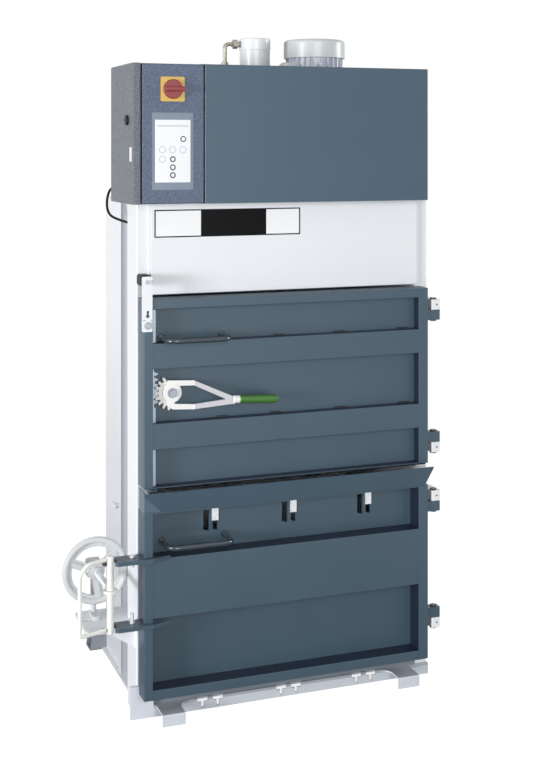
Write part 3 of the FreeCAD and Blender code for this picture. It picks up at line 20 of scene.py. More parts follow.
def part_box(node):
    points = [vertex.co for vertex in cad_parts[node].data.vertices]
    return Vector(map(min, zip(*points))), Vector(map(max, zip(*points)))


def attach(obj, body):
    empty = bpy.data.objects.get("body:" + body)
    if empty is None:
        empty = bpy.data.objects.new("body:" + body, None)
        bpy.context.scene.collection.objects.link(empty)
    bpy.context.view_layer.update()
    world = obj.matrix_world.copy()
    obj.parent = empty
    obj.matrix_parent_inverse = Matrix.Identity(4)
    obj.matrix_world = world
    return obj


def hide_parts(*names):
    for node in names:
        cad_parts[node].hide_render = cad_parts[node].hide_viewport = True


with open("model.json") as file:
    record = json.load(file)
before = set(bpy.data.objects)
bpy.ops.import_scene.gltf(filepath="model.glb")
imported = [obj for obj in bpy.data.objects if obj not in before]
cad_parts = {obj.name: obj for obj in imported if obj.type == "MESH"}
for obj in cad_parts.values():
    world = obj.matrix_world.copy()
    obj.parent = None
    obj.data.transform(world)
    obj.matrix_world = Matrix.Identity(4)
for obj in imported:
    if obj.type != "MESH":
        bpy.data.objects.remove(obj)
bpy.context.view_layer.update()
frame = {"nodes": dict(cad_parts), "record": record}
nodes = frame["nodes"]

# %% [markdown]
# The machine was drawn from the left post's front corner. `place` turns such a
# point, in millimetres, into a point of this scene.

# %%
SHIFT = Vector((-0.44575, -0.27525, 0.0))


def place(x, y, z):
    """Point of the drawing, in millimetres, as a point of the scene."""
    return Vector((x, y, z)) / 1000 + SHIFT


print("left post's corner at", place(0, 0, 0))

# %% [markdown]
# The camera looks at the machine from the front left. Its height and its lens
# follow from where the machine's edges meet in the photograph. The view is
# level and moved down on the film, so that upright edges stay upright.

# %%
EYE = place(-1092.6, -4255.4, 1947.5)
EYE_TURN = math.radians(20.36)
LENS = 60.2
FILM_SHIFT = -0.31

camera_data = bpy.data.cameras.new("camera")
camera = bpy.data.objects.new("camera", camera_data)
bpy.context.scene.collection.objects.link(camera)
camera_data.lens = LENS
camera_data.sensor_width = 36.0
camera_data.shift_y = FILM_SHIFT
camera_data.clip_end = 60.0
camera.location = EYE
camera.rotation_euler = (math.radians(90), 0, -EYE_TURN)
bpy.context.scene.camera = camera
print("camera at", camera.location)

# %% [markdown]
# Soft light comes from large areas and from a white world. The camera, metal
# and glass see the world as pure white, because the photograph is cut out on
# white.

# %%
SOFT_LEVEL = 0.24
SHOWN_LEVEL = 1.0

scene = bpy.context.scene
scene.view_settings.view_transform = "Standard"
world = bpy.data.worlds.new("studio")
scene.world = world
world.use_nodes = True
tree = world.node_tree
tree.nodes.clear()
output = tree.nodes.new("ShaderNodeOutputWorld")
soft = tree.nodes.new("ShaderNodeBackground")
soft.inputs["Color"].default_value = (1, 1, 1, 1)
soft.inputs["Strength"].default_value = SOFT_LEVEL
white = tree.nodes.new("ShaderNodeBackground")
white.inputs["Color"].default_value = (1, 1, 1, 1)
white.inputs["Strength"].default_value = SHOWN_LEVEL
path = tree.nodes.new("ShaderNodeLightPath")
shown = path.outputs["Is Camera Ray"]
for kind in ("Is Glossy Ray", "Is Transmission Ray"):
    either = tree.nodes.new("ShaderNodeMath")
    either.operation = "MAXIMUM"
    tree.links.new(shown, either.inputs[0])
    tree.links.new(path.outputs[kind], either.inputs[1])
    shown = either.outputs[0]
mix = tree.nodes.new("ShaderNodeMixShader")
tree.links.new(shown, mix.inputs["Fac"])
tree.links.new(soft.outputs["Background"], mix.inputs[1])
tree.links.new(white.outputs["Background"], mix.inputs[2])
tree.links.new(mix.outputs["Shader"], output.inputs["Surface"])


def area_light(name, x, y, z, size, power, target):
    """Square light that faces a target point."""
    data = bpy.data.lights.new(name, "AREA")
    data.shape = "SQUARE"
    data.size = size
    data.energy = power
    light = bpy.data.objects.new(name, data)
    light.location = (x, y, z)
    aim = Vector(target) - light.location
    light.rotation_euler = aim.to_track_quat("-Z", "Y").to_euler()
    bpy.context.scene.collection.objects.link(light)
    return light


middle = (0, 0, 1.2)
area_light("side", -8.6, -3.5, 1.7, 2.0, 660, middle)
area_light("front", -0.6, -6.0, 2.0, 2.8, 150, middle)
area_light("right", 7.0, -1.0, 3.0, 2.0, 200, (0, 0, 1.6))

# %% [markdown]
# A pale floor carries the soft shadow under the base. It is flat and plain, and
# its paint, further down, lets it fade into the white round the machine.

# %%
FLOOR_HALF = 14

mesh = bpy.data.meshes.new("floor")
bm = bmesh.new()
bmesh.ops.create_grid(bm, x_segments=1, y_segments=1, size=FLOOR_HALF)
bm.to_mesh(mesh)
bm.free()
floor = bpy.data.objects.new("floor", mesh)
scene.collection.objects.link(floor)
print("floor", floor.dimensions)


# %% [markdown]
# ## Shader sums
# A `Field` is a value that changes over a surface. Sums of fields and numbers
# become Math nodes, so a pattern is written as a formula.

# %%
class Field:
    """Output socket of a shader node that can be used in sums."""

    def __init__(self, tree, socket):
        self.tree = tree
        self.socket = socket

    def sum(self, operation, other=None, swap=False):
        """Math node of this field and another field or number."""
        node = self.tree.nodes.new("ShaderNodeMath")
        node.operation = operation
        pair = [self] if other is None else ([other, self] if swap else [self, other])
        for i, value in enumerate(pair):
            if isinstance(value, Field):
                self.tree.links.new(value.socket, node.inputs[i])
            else:
                node.inputs[i].default_value = value
        return Field(self.tree, node.outputs[0])

    def __add__(self, other):
        return self.sum("ADD", other)

    def __sub__(self, other):
        return self.sum("SUBTRACT", other)

    def __rsub__(self, other):
        return self.sum("SUBTRACT", other, True)

    def __mul__(self, other):
        return self.sum("MULTIPLY", other)

    def __truediv__(self, other):
        return self.sum("DIVIDE", other)

    def __lt__(self, other):
        return self.sum("LESS_THAN", other)

    def __gt__(self, other):
        return self.sum("GREATER_THAN", other)

    def clamp(self):
        """The field held between 0 and 1."""
        return self.sum("MAXIMUM", 0.0).sum("MINIMUM", 1.0)


def between(field, low, high):
    """1 where a field is between two values, else 0."""
    return (field > low) * (field < high)


print("sums ready")


# %% [markdown]
# `Paint` builds one material: a Principled shader with helpers for noise,
# colours and bumps. All patterns run on Object coordinates.

# %%
class Paint:
    """One material with its Principled shader."""

    def __init__(self, name, color, rough, metal=0.0, coat=0.0, shine=0.5):
        self.material = bpy.data.materials.new(name)
        self.material.use_nodes = True
        self.tree = self.material.node_tree
        self.shader = self.tree.nodes["Principled BSDF"]
        self.shader.inputs["Base Color"].default_value = (*color, 1)
        self.shader.inputs["Roughness"].default_value = rough
        self.shader.inputs["Metallic"].default_value = metal
        self.shader.inputs["Specular IOR Level"].default_value = shine
        self.shader.inputs["Coat Weight"].default_value = coat
        self.shader.inputs["Coat Roughness"].default_value = 0.12
        self.coords = self.node("ShaderNodeTexCoord")
        self.material.diffuse_color = (*color, 1)

    def node(self, kind, **sockets):
        """New node with its inputs set or linked by name."""
        made = self.tree.nodes.new(kind)
        for name, value in sockets.items():
            target = made.inputs[name.replace("_", " ")]
            if isinstance(value, Field):
                self.tree.links.new(value.socket, target)
            elif hasattr(value, "is_output"):
                self.tree.links.new(value, target)
            else:
                target.default_value = value
        return made

    def axis(self, name):
        """One object coordinate as a field."""
        split = self.node("ShaderNodeSeparateXYZ", Vector=self.coords.outputs["Object"])
        return Field(self.tree, split.outputs[name])

    def noise(self, scale, detail=3.0, rough=0.5):
        """Noise from 0 to 1 with a scale in waves a metre."""
        made = self.node("ShaderNodeTexNoise", Vector=self.coords.outputs["Object"],
                         Scale=scale, Detail=detail, Roughness=rough)
        return Field(self.tree, made.outputs["Fac"])

    def clouds(self):
        """Large soft patches from 0 to 1."""
        return ((self.noise(3.0, 4.0) - 0.5) * 1.6 + 0.5).clamp()

    def cells(self, scale):
        """Distance to the nearest random point."""
        made = self.node("ShaderNodeTexVoronoi", Vector=self.coords.outputs["Object"],
                         Scale=scale)
        return Field(self.tree, made.outputs["Distance"])

    def mix(self, amount, first, second):
        """Colour between two colours; the node's colour sockets have numbers."""
        made = self.tree.nodes.new("ShaderNodeMix")
        made.data_type = "RGBA"
        self.tree.links.new(amount.socket, made.inputs["Factor"])
        for value, number in ((first, 6), (second, 7)):
            if isinstance(value, Field):
                self.tree.links.new(value.socket, made.inputs[number])
            else:
                made.inputs[number].default_value = (*value, 1)
        return Field(self.tree, made.outputs[2])

    def color(self, field):
        """Sets the colour by a field."""
        self.tree.links.new(field.socket, self.shader.inputs["Base Color"])

    def rough(self, field):
        """Sets the roughness by a field."""
        self.tree.links.new(field.socket, self.shader.inputs["Roughness"])

    def alpha(self, field):
        """Lets the surface fade out by a field."""
        self.tree.links.new(field.socket, self.shader.inputs["Alpha"])

    def glow(self, field, strength):
        """Light of the surface's own, by a field."""
        self.tree.links.new(field.socket, self.shader.inputs["Emission Color"])
        self.shader.inputs["Emission Strength"].default_value = strength

    def bump(self, field, height):
        """Raises the surface by a field times a height in metres."""
        made = self.node("ShaderNodeBump", Height=field, Distance=height, Strength=1.0)
        self.tree.links.new(made.outputs["Normal"], self.shader.inputs["Normal"])

    def sprayed(self, rough, peel=0.00006):
        """Dull dusty patches and the orange peel of sprayed paint."""
        self.rough(self.noise(9.0, 5.0, 0.6) * 0.14 + (rough - 0.07))
        self.bump(self.noise(260.0, 2.0), peel)


def linear(r, g, b):
    """Colour of a screen, 0 to 255, as scene-linear values."""
    return tuple((v / 255) ** 2.2 for v in (r, g, b))


def coat(name, color, rough, shade=0.08, peel=0.00006, clear=0.15, shine=0.5):
    """Sprayed paint with faint clouds of tone."""
    paint = Paint(name, color, rough, coat=clear, shine=shine)
    dark = tuple(v * (1 - shade) for v in color)
    light = tuple(min(1.0, v * (1 + shade)) for v in color)
    paint.color(paint.mix(paint.clouds(), dark, light))
    paint.sprayed(rough, peel)
    return paint.material


def hammer_coat(name, dark, light):
    """Structure paint: small bumps and specks of two tones."""
    paint = Paint(name, dark, 0.5)
    fine, coarse = paint.noise(420.0, 2.0, 0.7), paint.noise(170.0, 2.0, 0.6)
    speck = (fine + coarse - 1.0) * 2.6 + 0.5
    paint.color(paint.mix(speck.clamp(), dark, light))
    paint.rough(paint.noise(160.0) * 0.16 + 0.4)
    paint.bump(paint.cells(300.0) + paint.noise(500.0), 0.0004)
    return paint.material


print("painting tools ready")

# %% [markdown]
# ## Materials
# One material for each slot of the record. Tones are read off the photograph
# and set as plain numbers. Each row has a tone, a roughness and how far the
# clouds go from the tone.

# %%
COATS = {"white_paint": ((234, 237, 241), 0.42, 0.025),
         "cream_paint": ((238, 238, 233), 0.34, 0.025),
         "blue_grey_paint": ((62, 82, 96), 0.46, 0.06),
         "head_paint": ((62, 84, 100), 0.44, 0.05),
         "dark_paint": ((60, 70, 76), 0.5, 0.1),
         "grey_paint": ((232, 235, 237), 0.30, 0.03),
         "yellow_plastic": ((214, 178, 84), 0.36, 0.03),
         "red_plastic": ((134, 40, 40), 0.34, 0.05),
         "dark_steel": ((40, 41, 44), 0.4, 0.1)}
slots = {}
for name, (tone, rough, shade) in COATS.items():
    slots[name] = coat(name, linear(*tone), rough, shade)
slots["green_plastic"] = coat("green_plastic", linear(58, 108, 36), 0.32, shade=0.06,
                              peel=0.0001, clear=0.3)
slots["black_plastic"] = coat("black_plastic", linear(26, 28, 32), 0.5, shade=0.1,
                              peel=0.0002, clear=0.0, shine=0.25)
slots["rubber"] = coat("rubber", linear(22, 22, 24), 0.62, shade=0.1, clear=0.0, shine=0.2)
slots["hammered_paint"] = hammer_coat("hammered_paint", linear(62, 75, 97),
                                      linear(98, 111, 134))

zinc = Paint("zinc", (0.7, 0.73, 0.76), 0.38, metal=0.75)
spangle = zinc.cells(90.0) + zinc.noise(60.0) * 0.6
zinc.color(zinc.mix(spangle.clamp(), (0.60, 0.64, 0.68), (0.80, 0.83, 0.86)))
zinc.rough(spangle * 0.25 + 0.24)
zinc.bump(zinc.noise(500.0), 0.00003)
slots["zinc"] = zinc.material
print("slots", sorted(slots))

# %% [markdown]
# The floor is white where the camera looks and fades out with the distance from
# the machine, so that only the soft shadow under the base is seen.

# %%
FLOOR_FADE = (1.5, 2.6)
FLOOR_GLOW = 0.82

paper = Paint("floor_paint", (0.5, 0.5, 0.5), 0.9)
across, along = paper.axis("X"), paper.axis("Y")
away = (across * across + along * along).sum("SQRT")
paper.alpha(((FLOOR_FADE[1] - away) / (FLOOR_FADE[1] - FLOOR_FADE[0])).clamp())
seen = paper.tree.nodes.new("ShaderNodeLightPath")
paper.glow(Field(paper.tree, seen.outputs["Is Camera Ray"]), FLOOR_GLOW)
paper.rough(paper.noise(4.0) * 0.1 + 0.82)
floor.data.materials.append(paper.material)
print("floor fades from", FLOOR_FADE[0], "to", FLOOR_FADE[1], "m")

# %% [markdown]
# The label carries three plain fields in a black border. Their edges are
# shares of the plate, so the pattern stays on the plate from every side.

# %%
INSIDE_X = (0.008, 0.992)
INSIDE_Z = (0.045, 0.955)
BLACK_FIELD = (0.31, 0.76)

low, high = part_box("label_plate")
label = Paint("label_film", linear(238, 240, 242), 0.3, shine=0.1)
u = (label.axis("X") - low.x) / (high.x - low.x)
w = (label.axis("Z") - low.z) / (high.z - low.z)
border = 1.0 - between(u, *INSIDE_X) * between(w, *INSIDE_Z)
black = (border + between(u, *BLACK_FIELD)).clamp()
tone = label.mix(label.noise(6.0), linear(246, 248, 250), linear(252, 253, 254))
label.color(label.mix(black, tone, linear(14, 15, 17)))
label.rough(label.noise(30.0) * 0.1 + 0.24)
label.bump(label.noise(200.0), 0.00003)
slots["label_film"] = label.material
print("label fields from", low.x, "to", high.x)

# %% [markdown]
# The keypad is a printed foil on a sunk frame: a header line, four dark rings
# and four pale rings. A ring is where the distance to its centre is close to
# its radius. Places on the foil are shares of its width and height.

# %%
FOIL_DEPTH = 0.0009
FOIL_SIDE = 0.0102
FOIL_BELOW = 0.0252
FOIL_ABOVE = 0.0240
DARK_RING = 0.0103
PALE_RING = 0.0118

low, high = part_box("keypad")
pad = Paint("keypad_film", linear(133, 146, 163), 0.35, coat=0.2)
x, y, z = pad.axis("X"), pad.axis("Y"), pad.axis("Z")
left, right = low.x + FOIL_SIDE, high.x - FOIL_SIDE
bottom, top = low.z + FOIL_BELOW, high.z - FOIL_ABOVE
width, height = right - left, top - bottom
foil = between(x, left, right) * between(z, bottom, top) * (y < low.y + FOIL_DEPTH)
u = (x - left) / width
w = (z - bottom) / height


def ring_mark(u0, w0, radius, line):
    """1 on a ring round a place on the foil, given as shares of its size."""
    dx = (u - u0) * width
    dz = (w - w0) * height
    far = (dx * dx + dz * dz).sum("SQRT")
    return between(far, radius - line, radius)


dark_rings = ring_mark(0.796, 0.693, DARK_RING, 0.0036)
for w0 in (0.370, 0.240, 0.115):
    dark_rings = dark_rings + ring_mark(0.501, w0, DARK_RING, 0.0042)
pale_rings = ring_mark(0.209, 0.370, PALE_RING, 0.0022)
for u0 in (0.209, 0.494, 0.789):
    pale_rings = pale_rings + ring_mark(u0, 0.521, PALE_RING, 0.0022)
header = between(w, 0.893, 0.910) * between(u, 0.06, 0.95)
ink = ((dark_rings + header * 0.45) * foil).clamp()
pale = (pale_rings * 0.6 * foil).clamp()
body = pad.mix(foil, linear(118, 131, 147), linear(240, 243, 246))
body = pad.mix(pale, body, linear(120, 130, 142))
pad.color(pad.mix(ink, body, linear(30, 34, 46)))
pad.rough(pad.noise(40.0) * 0.1 + 0.26)
slots["keypad_film"] = pad.material
print("keypad", round(width, 3), "by", round(height, 3))

# %% [markdown]
# ## Paints of single pieces
# The locking bar's lugs are dark like the arms. The lever's arm has a painted
# shade between its bends and the collar, where it tilts away from the light.

# %%
CREAM = linear(238, 238, 233)
LUG_HEIGHTS = ((0.3385, 0.3505), (0.558, 0.570))
LUG_SIDE = place(-121.5, 0, 0).x
LUG_FRONT = place(0, -90, 0).y
ARM_BEND = place(186, 0, 0).x
ARM_END = place(313, 0, 0).x

bar = Paint("bar_paint", CREAM, 0.34, coat=0.15)
lower_lug, upper_lug = (between(bar.axis("Z"), *heights) for heights in LUG_HEIGHTS)
lugs = (bar.axis("X") < LUG_SIDE) * (bar.axis("Y") > LUG_FRONT) * (lower_lug + upper_lug)
bar.color(bar.mix(lugs.clamp(), CREAM, linear(52, 60, 68)))
bar.sprayed(0.34)

lever = Paint("lever_paint", linear(240, 240, 237), 0.34, coat=0.15)
# Painted shade: the arm is greyer from its bend to its end, where it tilts away from the light.
tilt_shade = between(lever.axis("X"), ARM_BEND, ARM_END) + (lever.noise(40.0) - 0.5) * 0.2
lever.color(lever.mix(tilt_shade.clamp(), linear(242, 242, 239), linear(188, 188, 194)))
lever.sprayed(0.34)
print("lever's arm greyer from", ARM_BEND, "to", ARM_END)

# %% [markdown]
# The left wall has a painted shade just before its stiffener and is darker
# towards the bottom. The base has a painted shade on its top and along the upper
# edge of its front.

# %%
STIFFENER = place(0, 362, 0).y
STIFFENER_SHADE_WIDTH = 0.09
STIFFENER_SHADE_FADE = 0.05
LOW_DARK_TOP = 1.35
TOP_FADE = 0.6
LOW_SHARE = 0.45
BASE_TOP = 0.0392
EDGE_LOW = 0.031
EDGE_FRONT = place(0, -20, 0).y

wall = Paint("wall_paint", linear(234, 237, 241), 0.42, coat=0.15)
back = wall.axis("Y")
# Painted shade on the wall just before the stiffener, where the post shades it.
shade_and_low_dark = ((back - (STIFFENER - STIFFENER_SHADE_WIDTH)) / STIFFENER_SHADE_FADE).clamp() * (back < STIFFENER)
# The wall is also darker towards the bottom.
low_dark = ((LOW_DARK_TOP - wall.axis("Z")) / TOP_FADE).clamp() * LOW_SHARE
shade_and_low_dark = (shade_and_low_dark + low_dark + (wall.noise(3.0) - 0.5) * 0.12).clamp()
wall.color(wall.mix(shade_and_low_dark, linear(235, 238, 241), linear(172, 176, 184)))
wall.sprayed(0.42)

base = Paint("base_paint", linear(214, 220, 229), 0.45, coat=0.1)
# Painted shade: the base's top and the upper edge of its front, under the doors, are darker.
shaded_front_edge = (base.axis("Z") > EDGE_LOW) * (base.axis("Y") > EDGE_FRONT)
painted_base_shade = shaded_front_edge.sum("MAXIMUM", base.axis("Z") > BASE_TOP)
painted_base_shade = (painted_base_shade * 0.85 + base.noise(14.0, 4.0) * 0.15).clamp()
base.color(base.mix(painted_base_shade, linear(208, 214, 223), linear(160, 167, 175)))
base.sprayed(0.45)
print("dust up to", LOW_DARK_TOP, "m on the wall")

# %% [markdown]
# The door frames have a painted shade on the returns behind their front, a
# bluer tint painted on their left side for the light that falls there, and a
# fine seam where the ribs meet the upright bars.

# %%
FRONT_SKIN = 0.0015
SIDE_SKIN = 0.001
SEAMS = ((37.0, 38.6), (1024.4, 1026.0))
RETURN_SHADE_AND_SEAM_TONE = linear(27, 36, 54)


def door_coat(name, node):
    """Door paint with a painted shade on the returns of the frame behind its front, and a
    painted tint on its left side.
    """
    paint = Paint(name, linear(62, 82, 96), 0.46, coat=0.1)
    low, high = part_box(node)
    behind = paint.axis("Y") > low.y + FRONT_SKIN
    outer = paint.axis("X") < low.x + SIDE_SKIN
    left_seam, right_seam = (between(paint.axis("X"), place(start, 0, 0).x, place(end, 0, 0).x)
                             for start, end in SEAMS)
    front = paint.mix(paint.clouds(), linear(59, 79, 93), linear(65, 85, 99))
    front = paint.mix((left_seam + right_seam) * 0.55, front, RETURN_SHADE_AND_SEAM_TONE)
    # Painted shade: the returns behind the front take the dark tone.
    with_return_shade = paint.mix(behind * (1.0 - outer), front, RETURN_SHADE_AND_SEAM_TONE)
    # Painted light: the left side takes a bluer tint.
    paint.color(paint.mix(behind * outer, with_return_shade, linear(56, 68, 88)))
    paint.sprayed(0.46)
    return paint.material


upper_coat = door_coat("upper_door_paint", "upper_door_frame")
lower_coat = door_coat("lower_door_paint", "lower_door_frame")
print("door paints ready")

# %% [markdown]
# Three bare metals differ from the zinc: the rack's milled steel, the darker
# steel of the pivot and screws, and the yellowed steel of the oil pipe.

# %%
rack_steel = Paint("rack_steel", (0.42, 0.48, 0.55), 0.42, metal=0.5)
rack_steel.color(rack_steel.mix(rack_steel.noise(120.0), linear(148, 162, 178),
                                linear(172, 186, 200)))
rack_steel.rough(rack_steel.noise(60.0) * 0.2 + 0.32)
rack_steel.bump(rack_steel.noise(500.0), 0.00003)

pivot = Paint("pivot_steel", (0.32, 0.34, 0.38), 0.4, metal=0.6)
pivot.rough(pivot.noise(300.0) * 0.3 + 0.28)

pipe = Paint("pipe_steel", linear(158, 154, 142), 0.36, metal=0.6)
pipe.rough(pipe.noise(120.0) * 0.2 + 0.26)
pipe.color(pipe.mix(pipe.noise(60.0), linear(146, 142, 131), linear(170, 166, 154)))
print("steels ready")

# %% [markdown]
# The other paints of single pieces: a blank film for the side plate, the cast
# wheel and carrier, the greyer rear tube, the cabinet's greyer structure paint,
# and tones for the corner plate, the handles, the cowl and the motor. The deck
# and the chamber's floor are darker, a painted shade, and the deflector is
# lighter, a painted light.

# %%
film = coat("blank_film", linear(228, 231, 236), 0.3, shade=0.03)
cast = coat("cast_paint", linear(206, 209, 211), 0.42, shade=0.05, peel=0.00015)
tube = coat("tube_paint", linear(138, 145, 153), 0.46, shade=0.06)
housing = hammer_coat("hammered_side", linear(74, 79, 89), linear(116, 121, 130))
corner_paint = coat("corner_paint", linear(216, 222, 233), 0.45, shade=0.04)
# Painted shade: the deck's top and the chamber floor's sill are darker.
deck_shade_paint = coat("deck_shade_paint", linear(190, 197, 204), 0.46, shade=0.05)
shaded_sill = coat("sill_paint", linear(130, 137, 146), 0.46, shade=0.04)
# Painted light: the deflector is lighter, as it faces down and away from the lamps.
lightened_deflector = coat("deflector_paint", linear(74, 95, 110), 0.46, shade=0.05)
grip_rod = coat("handle_paint", linear(44, 56, 66), 0.22, shade=0.08, clear=0.5)
cowl = coat("cowl_paint", linear(208, 213, 214), 0.34, shade=0.03)
fins = coat("motor_paint", linear(214, 219, 230), 0.36, shade=0.03)
print("materials so far", len(bpy.data.materials))

# %% [markdown]
# Each node takes the material of its slot, or a paint of its own from this
# table.

# %%
own = {"upper_door_frame": upper_coat, "lower_door_frame": lower_coat,
       "deflector": lightened_deflector, "upper_handle": grip_rod, "lower_handle": grip_rod,
       "rack": rack_steel.material, "lever": lever.material,
       "lever_pivot": pivot.material, "tongue_screws": pivot.material,
       "chamber_floor": shaded_sill, "deck": deck_shade_paint, "base_plate": base.material,
       "corner_plate": corner_paint, "rear_crossmember": tube,
       "side_wall_left": wall.material, "cabinet_body": housing,
       "head_cover": slots["head_paint"], "cylinder_fitting": pipe.material,
       "motor": fins, "fan_cowl": cowl, "type_plate": film,
       "locking_bar": bar.material, "handwheel": cast, "lock_carrier": cast}
record = frame["record"]
for entry in record["subparts"]:
    node = nodes[entry["node"]]
    node.data.materials.clear()
    node.data.materials.append(own.get(entry["node"], slots[entry["material_slot"]]))
print("materials on", len(record["subparts"]), "nodes")

# %% [markdown]
# The cable is a smooth curve through the same points as its solid.

# %%
CABLE_D = 0.009

route = [place(-20, 241, 1797), place(-22, 273.5, 1797), place(-27, 300, 1778),
         place(-31, 310, 1747), place(-31, 300, 1716), place(-26, 273.5, 1697),
         place(-14, 236, 1688), place(4, 191, 1680), place(16, 146, 1676)]
curve = bpy.data.curves.new("cable_line", "CURVE")
curve.dimensions = "3D"
spline = curve.splines.new("NURBS")
spline.points.add(len(route) - 1)
for point, there in zip(spline.points, route):
    point.co = (*there, 1)
spline.order_u = 3
spline.use_endpoint_u = True
spline.resolution_u = 12
curve.bevel_depth = CABLE_D / 2
curve.bevel_resolution = 4
curve.use_fill_caps = True
cable = bpy.data.objects.new("cable_line", curve)
scene.collection.objects.link(cable)
curve.materials.append(slots["rubber"])
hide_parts("cable")
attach(cable, "frame")
print("cable points", len(route))


# %% [markdown]
# ## Small pieces
# `finish_piece` turns a finished bmesh into a piece that rides on a body.
# `add_disc`, `add_block` and `add_bead` add a screw head, a block and a weld.

# %%
def finish_piece(name, bm, material, body):
    """Object from a bmesh, with outward normals, riding on a body."""
    bmesh.ops.recalc_face_normals(bm, faces=bm.faces)
    mesh = bpy.data.meshes.new(name)
    bm.to_mesh(mesh)
    bm.free()
    piece = bpy.data.objects.new(name, mesh)
    scene.collection.objects.link(piece)
    mesh.materials.append(material)
    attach(piece, body)
    return piece


def pose_of(axis):
    """Turn that takes the local Z axis to a direction."""
    return Vector(axis).normalized().to_track_quat("Z", "Y").to_matrix().to_4x4()


def add_disc(bm, centre, axis, radius, height, edge=0.0, top=None):
    """Round head on a surface; its upper edge can be bevelled."""
    matrix = Matrix.Translation(centre) @ pose_of(axis) @ Matrix.Translation((0, 0, height / 2))
    made = bmesh.ops.create_cone(bm, cap_ends=True, segments=20, radius1=radius,
                                 radius2=radius if top is None else top, depth=height,
                                 matrix=matrix)
    verts = set(made["verts"])
    out = Vector(axis).normalized()
    rim = [e for e in bm.edges if set(e.verts) <= verts and
           all((v.co - Vector(centre)).dot(out) > height * 0.9 for v in e.verts)]
    if edge > 0:
        bmesh.ops.bevel(bm, geom=rim, offset=edge, segments=2, affect="EDGES", profile=0.5)


def add_block(bm, centre, size, keep, edge, segments):
    """Block with the edges that a test keeps rounded off."""
    bmesh.ops.create_cube(bm, size=1.0,
                          matrix=Matrix.Translation(centre) @ Matrix.Diagonal((*size, 1)))
    bmesh.ops.bevel(bm, geom=[e for e in bm.edges if keep(e)], offset=edge,
                    segments=segments, affect="EDGES", profile=0.5)


def add_bead(bm, start, end, radius):
    """Weld bead: a thin rounded bar, a little uneven along its length."""
    start, end = Vector(start), Vector(end)
    rings = max(6, int((end - start).length / 0.004))
    made = bmesh.ops.create_circle(bm, cap_ends=True, segments=6, radius=radius,
                                   matrix=Matrix.Translation(start) @ pose_of(end - start))
    face = list(made["verts"][0].link_faces)
    step = (end - start) / rings
    for i in range(rings):
        grown = bmesh.ops.extrude_face_region(bm, geom=face)
        verts = [v for v in grown["geom"] if isinstance(v, bmesh.types.BMVert)]
        bmesh.ops.translate(bm, vec=step, verts=verts)
        swell = 1.12 if i % 2 == 0 else 1 / 1.12
        bmesh.ops.scale(bm, vec=(swell, swell, swell), verts=verts,
                        space=Matrix.Translation(-(start + step * (i + 1))))
        face = [f for f in grown["geom"] if isinstance(f, bmesh.types.BMFace)]


print("helpers ready")

# %% [markdown]
# The spindle's thread is a small triangle that turns round the spindle's axis
# while it moves along it. One turn of the handwheel draws the bar by one pitch.

# %%
SPINDLE = place(-109.5, 0, 472)
SPINDLE_R = 0.010
THREAD_START = place(0, -48, 0).y
RIDGE = 0.0018
RIDGE_OUT = 0.0004
PITCH = 0.004
TURNS = 38
STEPS = 18

bm = bmesh.new()
ridge = Vector((SPINDLE.x + SPINDLE_R + RIDGE_OUT, THREAD_START, SPINDLE.z))
bmesh.ops.create_circle(bm, cap_ends=True, segments=3, radius=RIDGE,
                        matrix=Matrix.Translation(ridge))
bmesh.ops.spin(bm, geom=bm.verts[:] + bm.edges[:] + bm.faces[:], cent=SPINDLE,
               axis=(0, 1, 0), dvec=(0, PITCH / STEPS, 0), angle=math.tau * TURNS,
               steps=TURNS * STEPS, use_duplicate=False)
thread = finish_piece("spindle_thread", bm, slots["zinc"], "locking_bar")
print("thread faces", len(thread.data.polygons))

# %% [markdown]
# Weld beads join the hinge blocks to the doors and to the right post, and a
# small grub screw holds each pin in its post block. Each row has the height
# where two blocks meet and whether the door's block is the upper one.

# %%
HINGE_X, HINGE_Y = 1098.0, -60.0
BLOCK_H = 37.0
BLOCK_HALF = 18.0
DOOR_EDGE = 1066.0
POST_BEAD_X = HINGE_X - 15
GRUB_X = HINGE_X + 6
BEAD_R = 0.0026
HINGES = {"upper_door": ((1351.0, False), (869.0, True)),
          "lower_door": ((655.0, False), (230.0, True))}

for door, places in HINGES.items():
    beads = bmesh.new()
    post_beads = bmesh.new()
    grubs = bmesh.new()
    for joint, door_above in places:
        up = 1 if door_above else -1
        low, high = sorted((joint + up * 2, joint + up * (BLOCK_H - 2)))
        for y in (HINGE_Y - BLOCK_HALF, HINGE_Y + BLOCK_HALF):
            add_bead(beads, place(DOOR_EDGE, y, low), place(DOOR_EDGE, y, high), BEAD_R)
        low, high = sorted((joint - up * 2, joint - up * (BLOCK_H - 2)))
        add_bead(post_beads, place(POST_BEAD_X, 0, low), place(POST_BEAD_X, 0, high), BEAD_R)
        screw = place(GRUB_X, HINGE_Y - BLOCK_HALF + 0.3, (low + high) / 2)
        add_disc(grubs, screw, (0, -1, 0), 0.003, 0.001)
    finish_piece(door + "_hinge_beads", beads, slots["blue_grey_paint"], door)
    finish_piece(door + "_post_beads", post_beads, slots["white_paint"], "frame")
    finish_piece(door + "_grub_screws", grubs, slots["black_plastic"], "frame")
print("hinge places", sum(len(v) for v in HINGES.values()))

# %% [markdown]
# Short weld beads hold the upper door's ribs to its panel. Each row has the
# height of a ledge and the middles of its beads.

# %%
PANEL_Y = -44.0
BEAD_HALF = 20
LEDGES = {1285.5: (502, 731, 977), 1015.7: (292, 487, 735, 985)}

bm = bmesh.new()
for z, middles in LEDGES.items():
    for x in middles:
        add_bead(bm, place(x - BEAD_HALF, PANEL_Y, z), place(x + BEAD_HALF, PANEL_Y, z), 0.003)
finish_piece("upper_door_rib_beads", bm, slots["dark_steel"], "upper_door")
print("rib beads done")

# %% [markdown]
# The deflector's left end is closed by a plate that reaches back to the post. A
# rubber seal under the upper door narrows the gap above the deflector; its black
# also stands in for the shade in that gap.

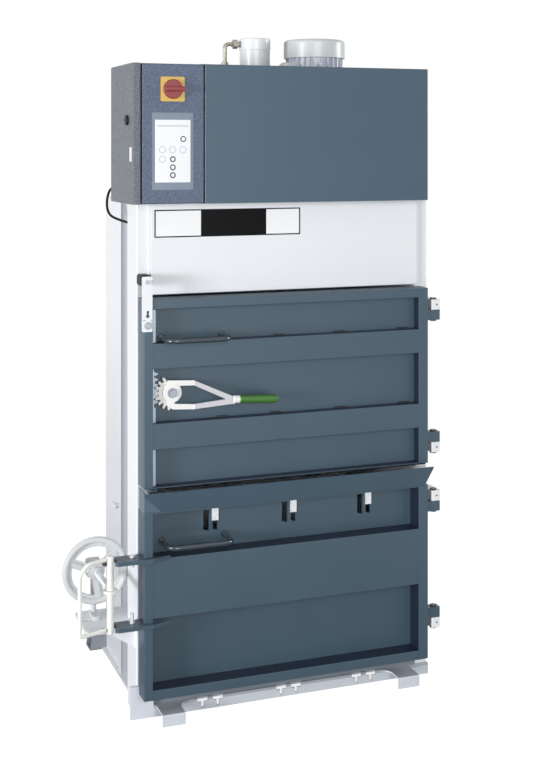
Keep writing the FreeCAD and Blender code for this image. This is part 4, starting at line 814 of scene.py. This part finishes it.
# %%
DOOR_BOTTOM = 797.0
END_TOP = place(0, 0, 760).z
END_FRONT = place(0, -50, 0).y
SEAL_LOW = place(0, 0, DOOR_BOTTOM - 3).z

bm = bmesh.new()
add_block(bm, place(8, -47, 750.5), (0.0032, 0.066, 0.073),
          lambda e: abs(e.verts[0].co.x - e.verts[1].co.x) > 0.001 and
          all(v.co.z > END_TOP and v.co.y < END_FRONT for v in e.verts), 0.012, 4)
# The end plate takes the deflector's lighter paint, a painted light.
finish_piece("deflector_end", bm, lightened_deflector, "lower_door")

# The seal's black strip is partly a seal and partly stands in for the shade in the gap.
bm = bmesh.new()
add_block(bm, place(567.5, -74, DOOR_BOTTOM - 2.1), (0.979, 0.014, 0.0042),
          lambda e: all(v.co.z < SEAL_LOW for v in e.verts), 0.0015, 3)
finish_piece("door_seal", bm, slots["rubber"], "upper_door")
print("end plate and seal done")

# %% [markdown]
# Screws in the left wall, the cylinder's seam, two screws between the motor's
# fins and a small clip with its screw on the left wall.

# %%
WALL_FACE = 42.6
WALL_SCREWS = ((600, 1631), (465, 1637), (472, 1488), (600, 1481))
CYLINDER_X, CYLINDER_Y, CYLINDER_R = 535.0, 300.0, 57.1
SEAM_Z = 2306.0
MOTOR_SCREWS = (677, 751)

bm = bmesh.new()
for y, z in WALL_SCREWS:
    add_disc(bm, place(WALL_FACE + 0.5, y, z), (-1, 0, 0), 0.0055, 0.003, 0.0012, top=0.0045)
finish_piece("wall_screws", bm, slots["zinc"], "frame")

bm = bmesh.new()
ring_at = place(CYLINDER_X + CYLINDER_R, CYLINDER_Y, SEAM_Z)
bmesh.ops.create_circle(bm, cap_ends=False, segments=4, radius=0.0012,
                        matrix=Matrix.Translation(ring_at) @
                        Matrix.Rotation(math.radians(90), 4, "X"))
bmesh.ops.spin(bm, geom=bm.verts[:] + bm.edges[:], axis=(0, 0, 1), angle=math.tau,
               cent=place(CYLINDER_X, CYLINDER_Y, SEAM_Z), steps=48, use_merge=True,
               use_duplicate=False)
finish_piece("cylinder_seam", bm, slots["grey_paint"], "frame")

bm = bmesh.new()
for x in MOTOR_SCREWS:
    add_disc(bm, place(x, 181, 2253), (0, -1, 0), 0.0065, 0.006, 0.002)
finish_piece("motor_screws", bm, slots["grey_paint"], "frame")

clip_at = place(WALL_FACE - 10, 440, 607)
bm = bmesh.new()
add_block(bm, clip_at, (0.022, 0.05, 0.012), lambda e: True, 0.0025, 2)
add_disc(bm, clip_at + Vector((-0.006, -0.008, 0.006)), (0, 0, 1), 0.005, 0.004, 0.001)
finish_piece("wall_clip", bm, slots["zinc"], "frame")
print("clip at", clip_at)
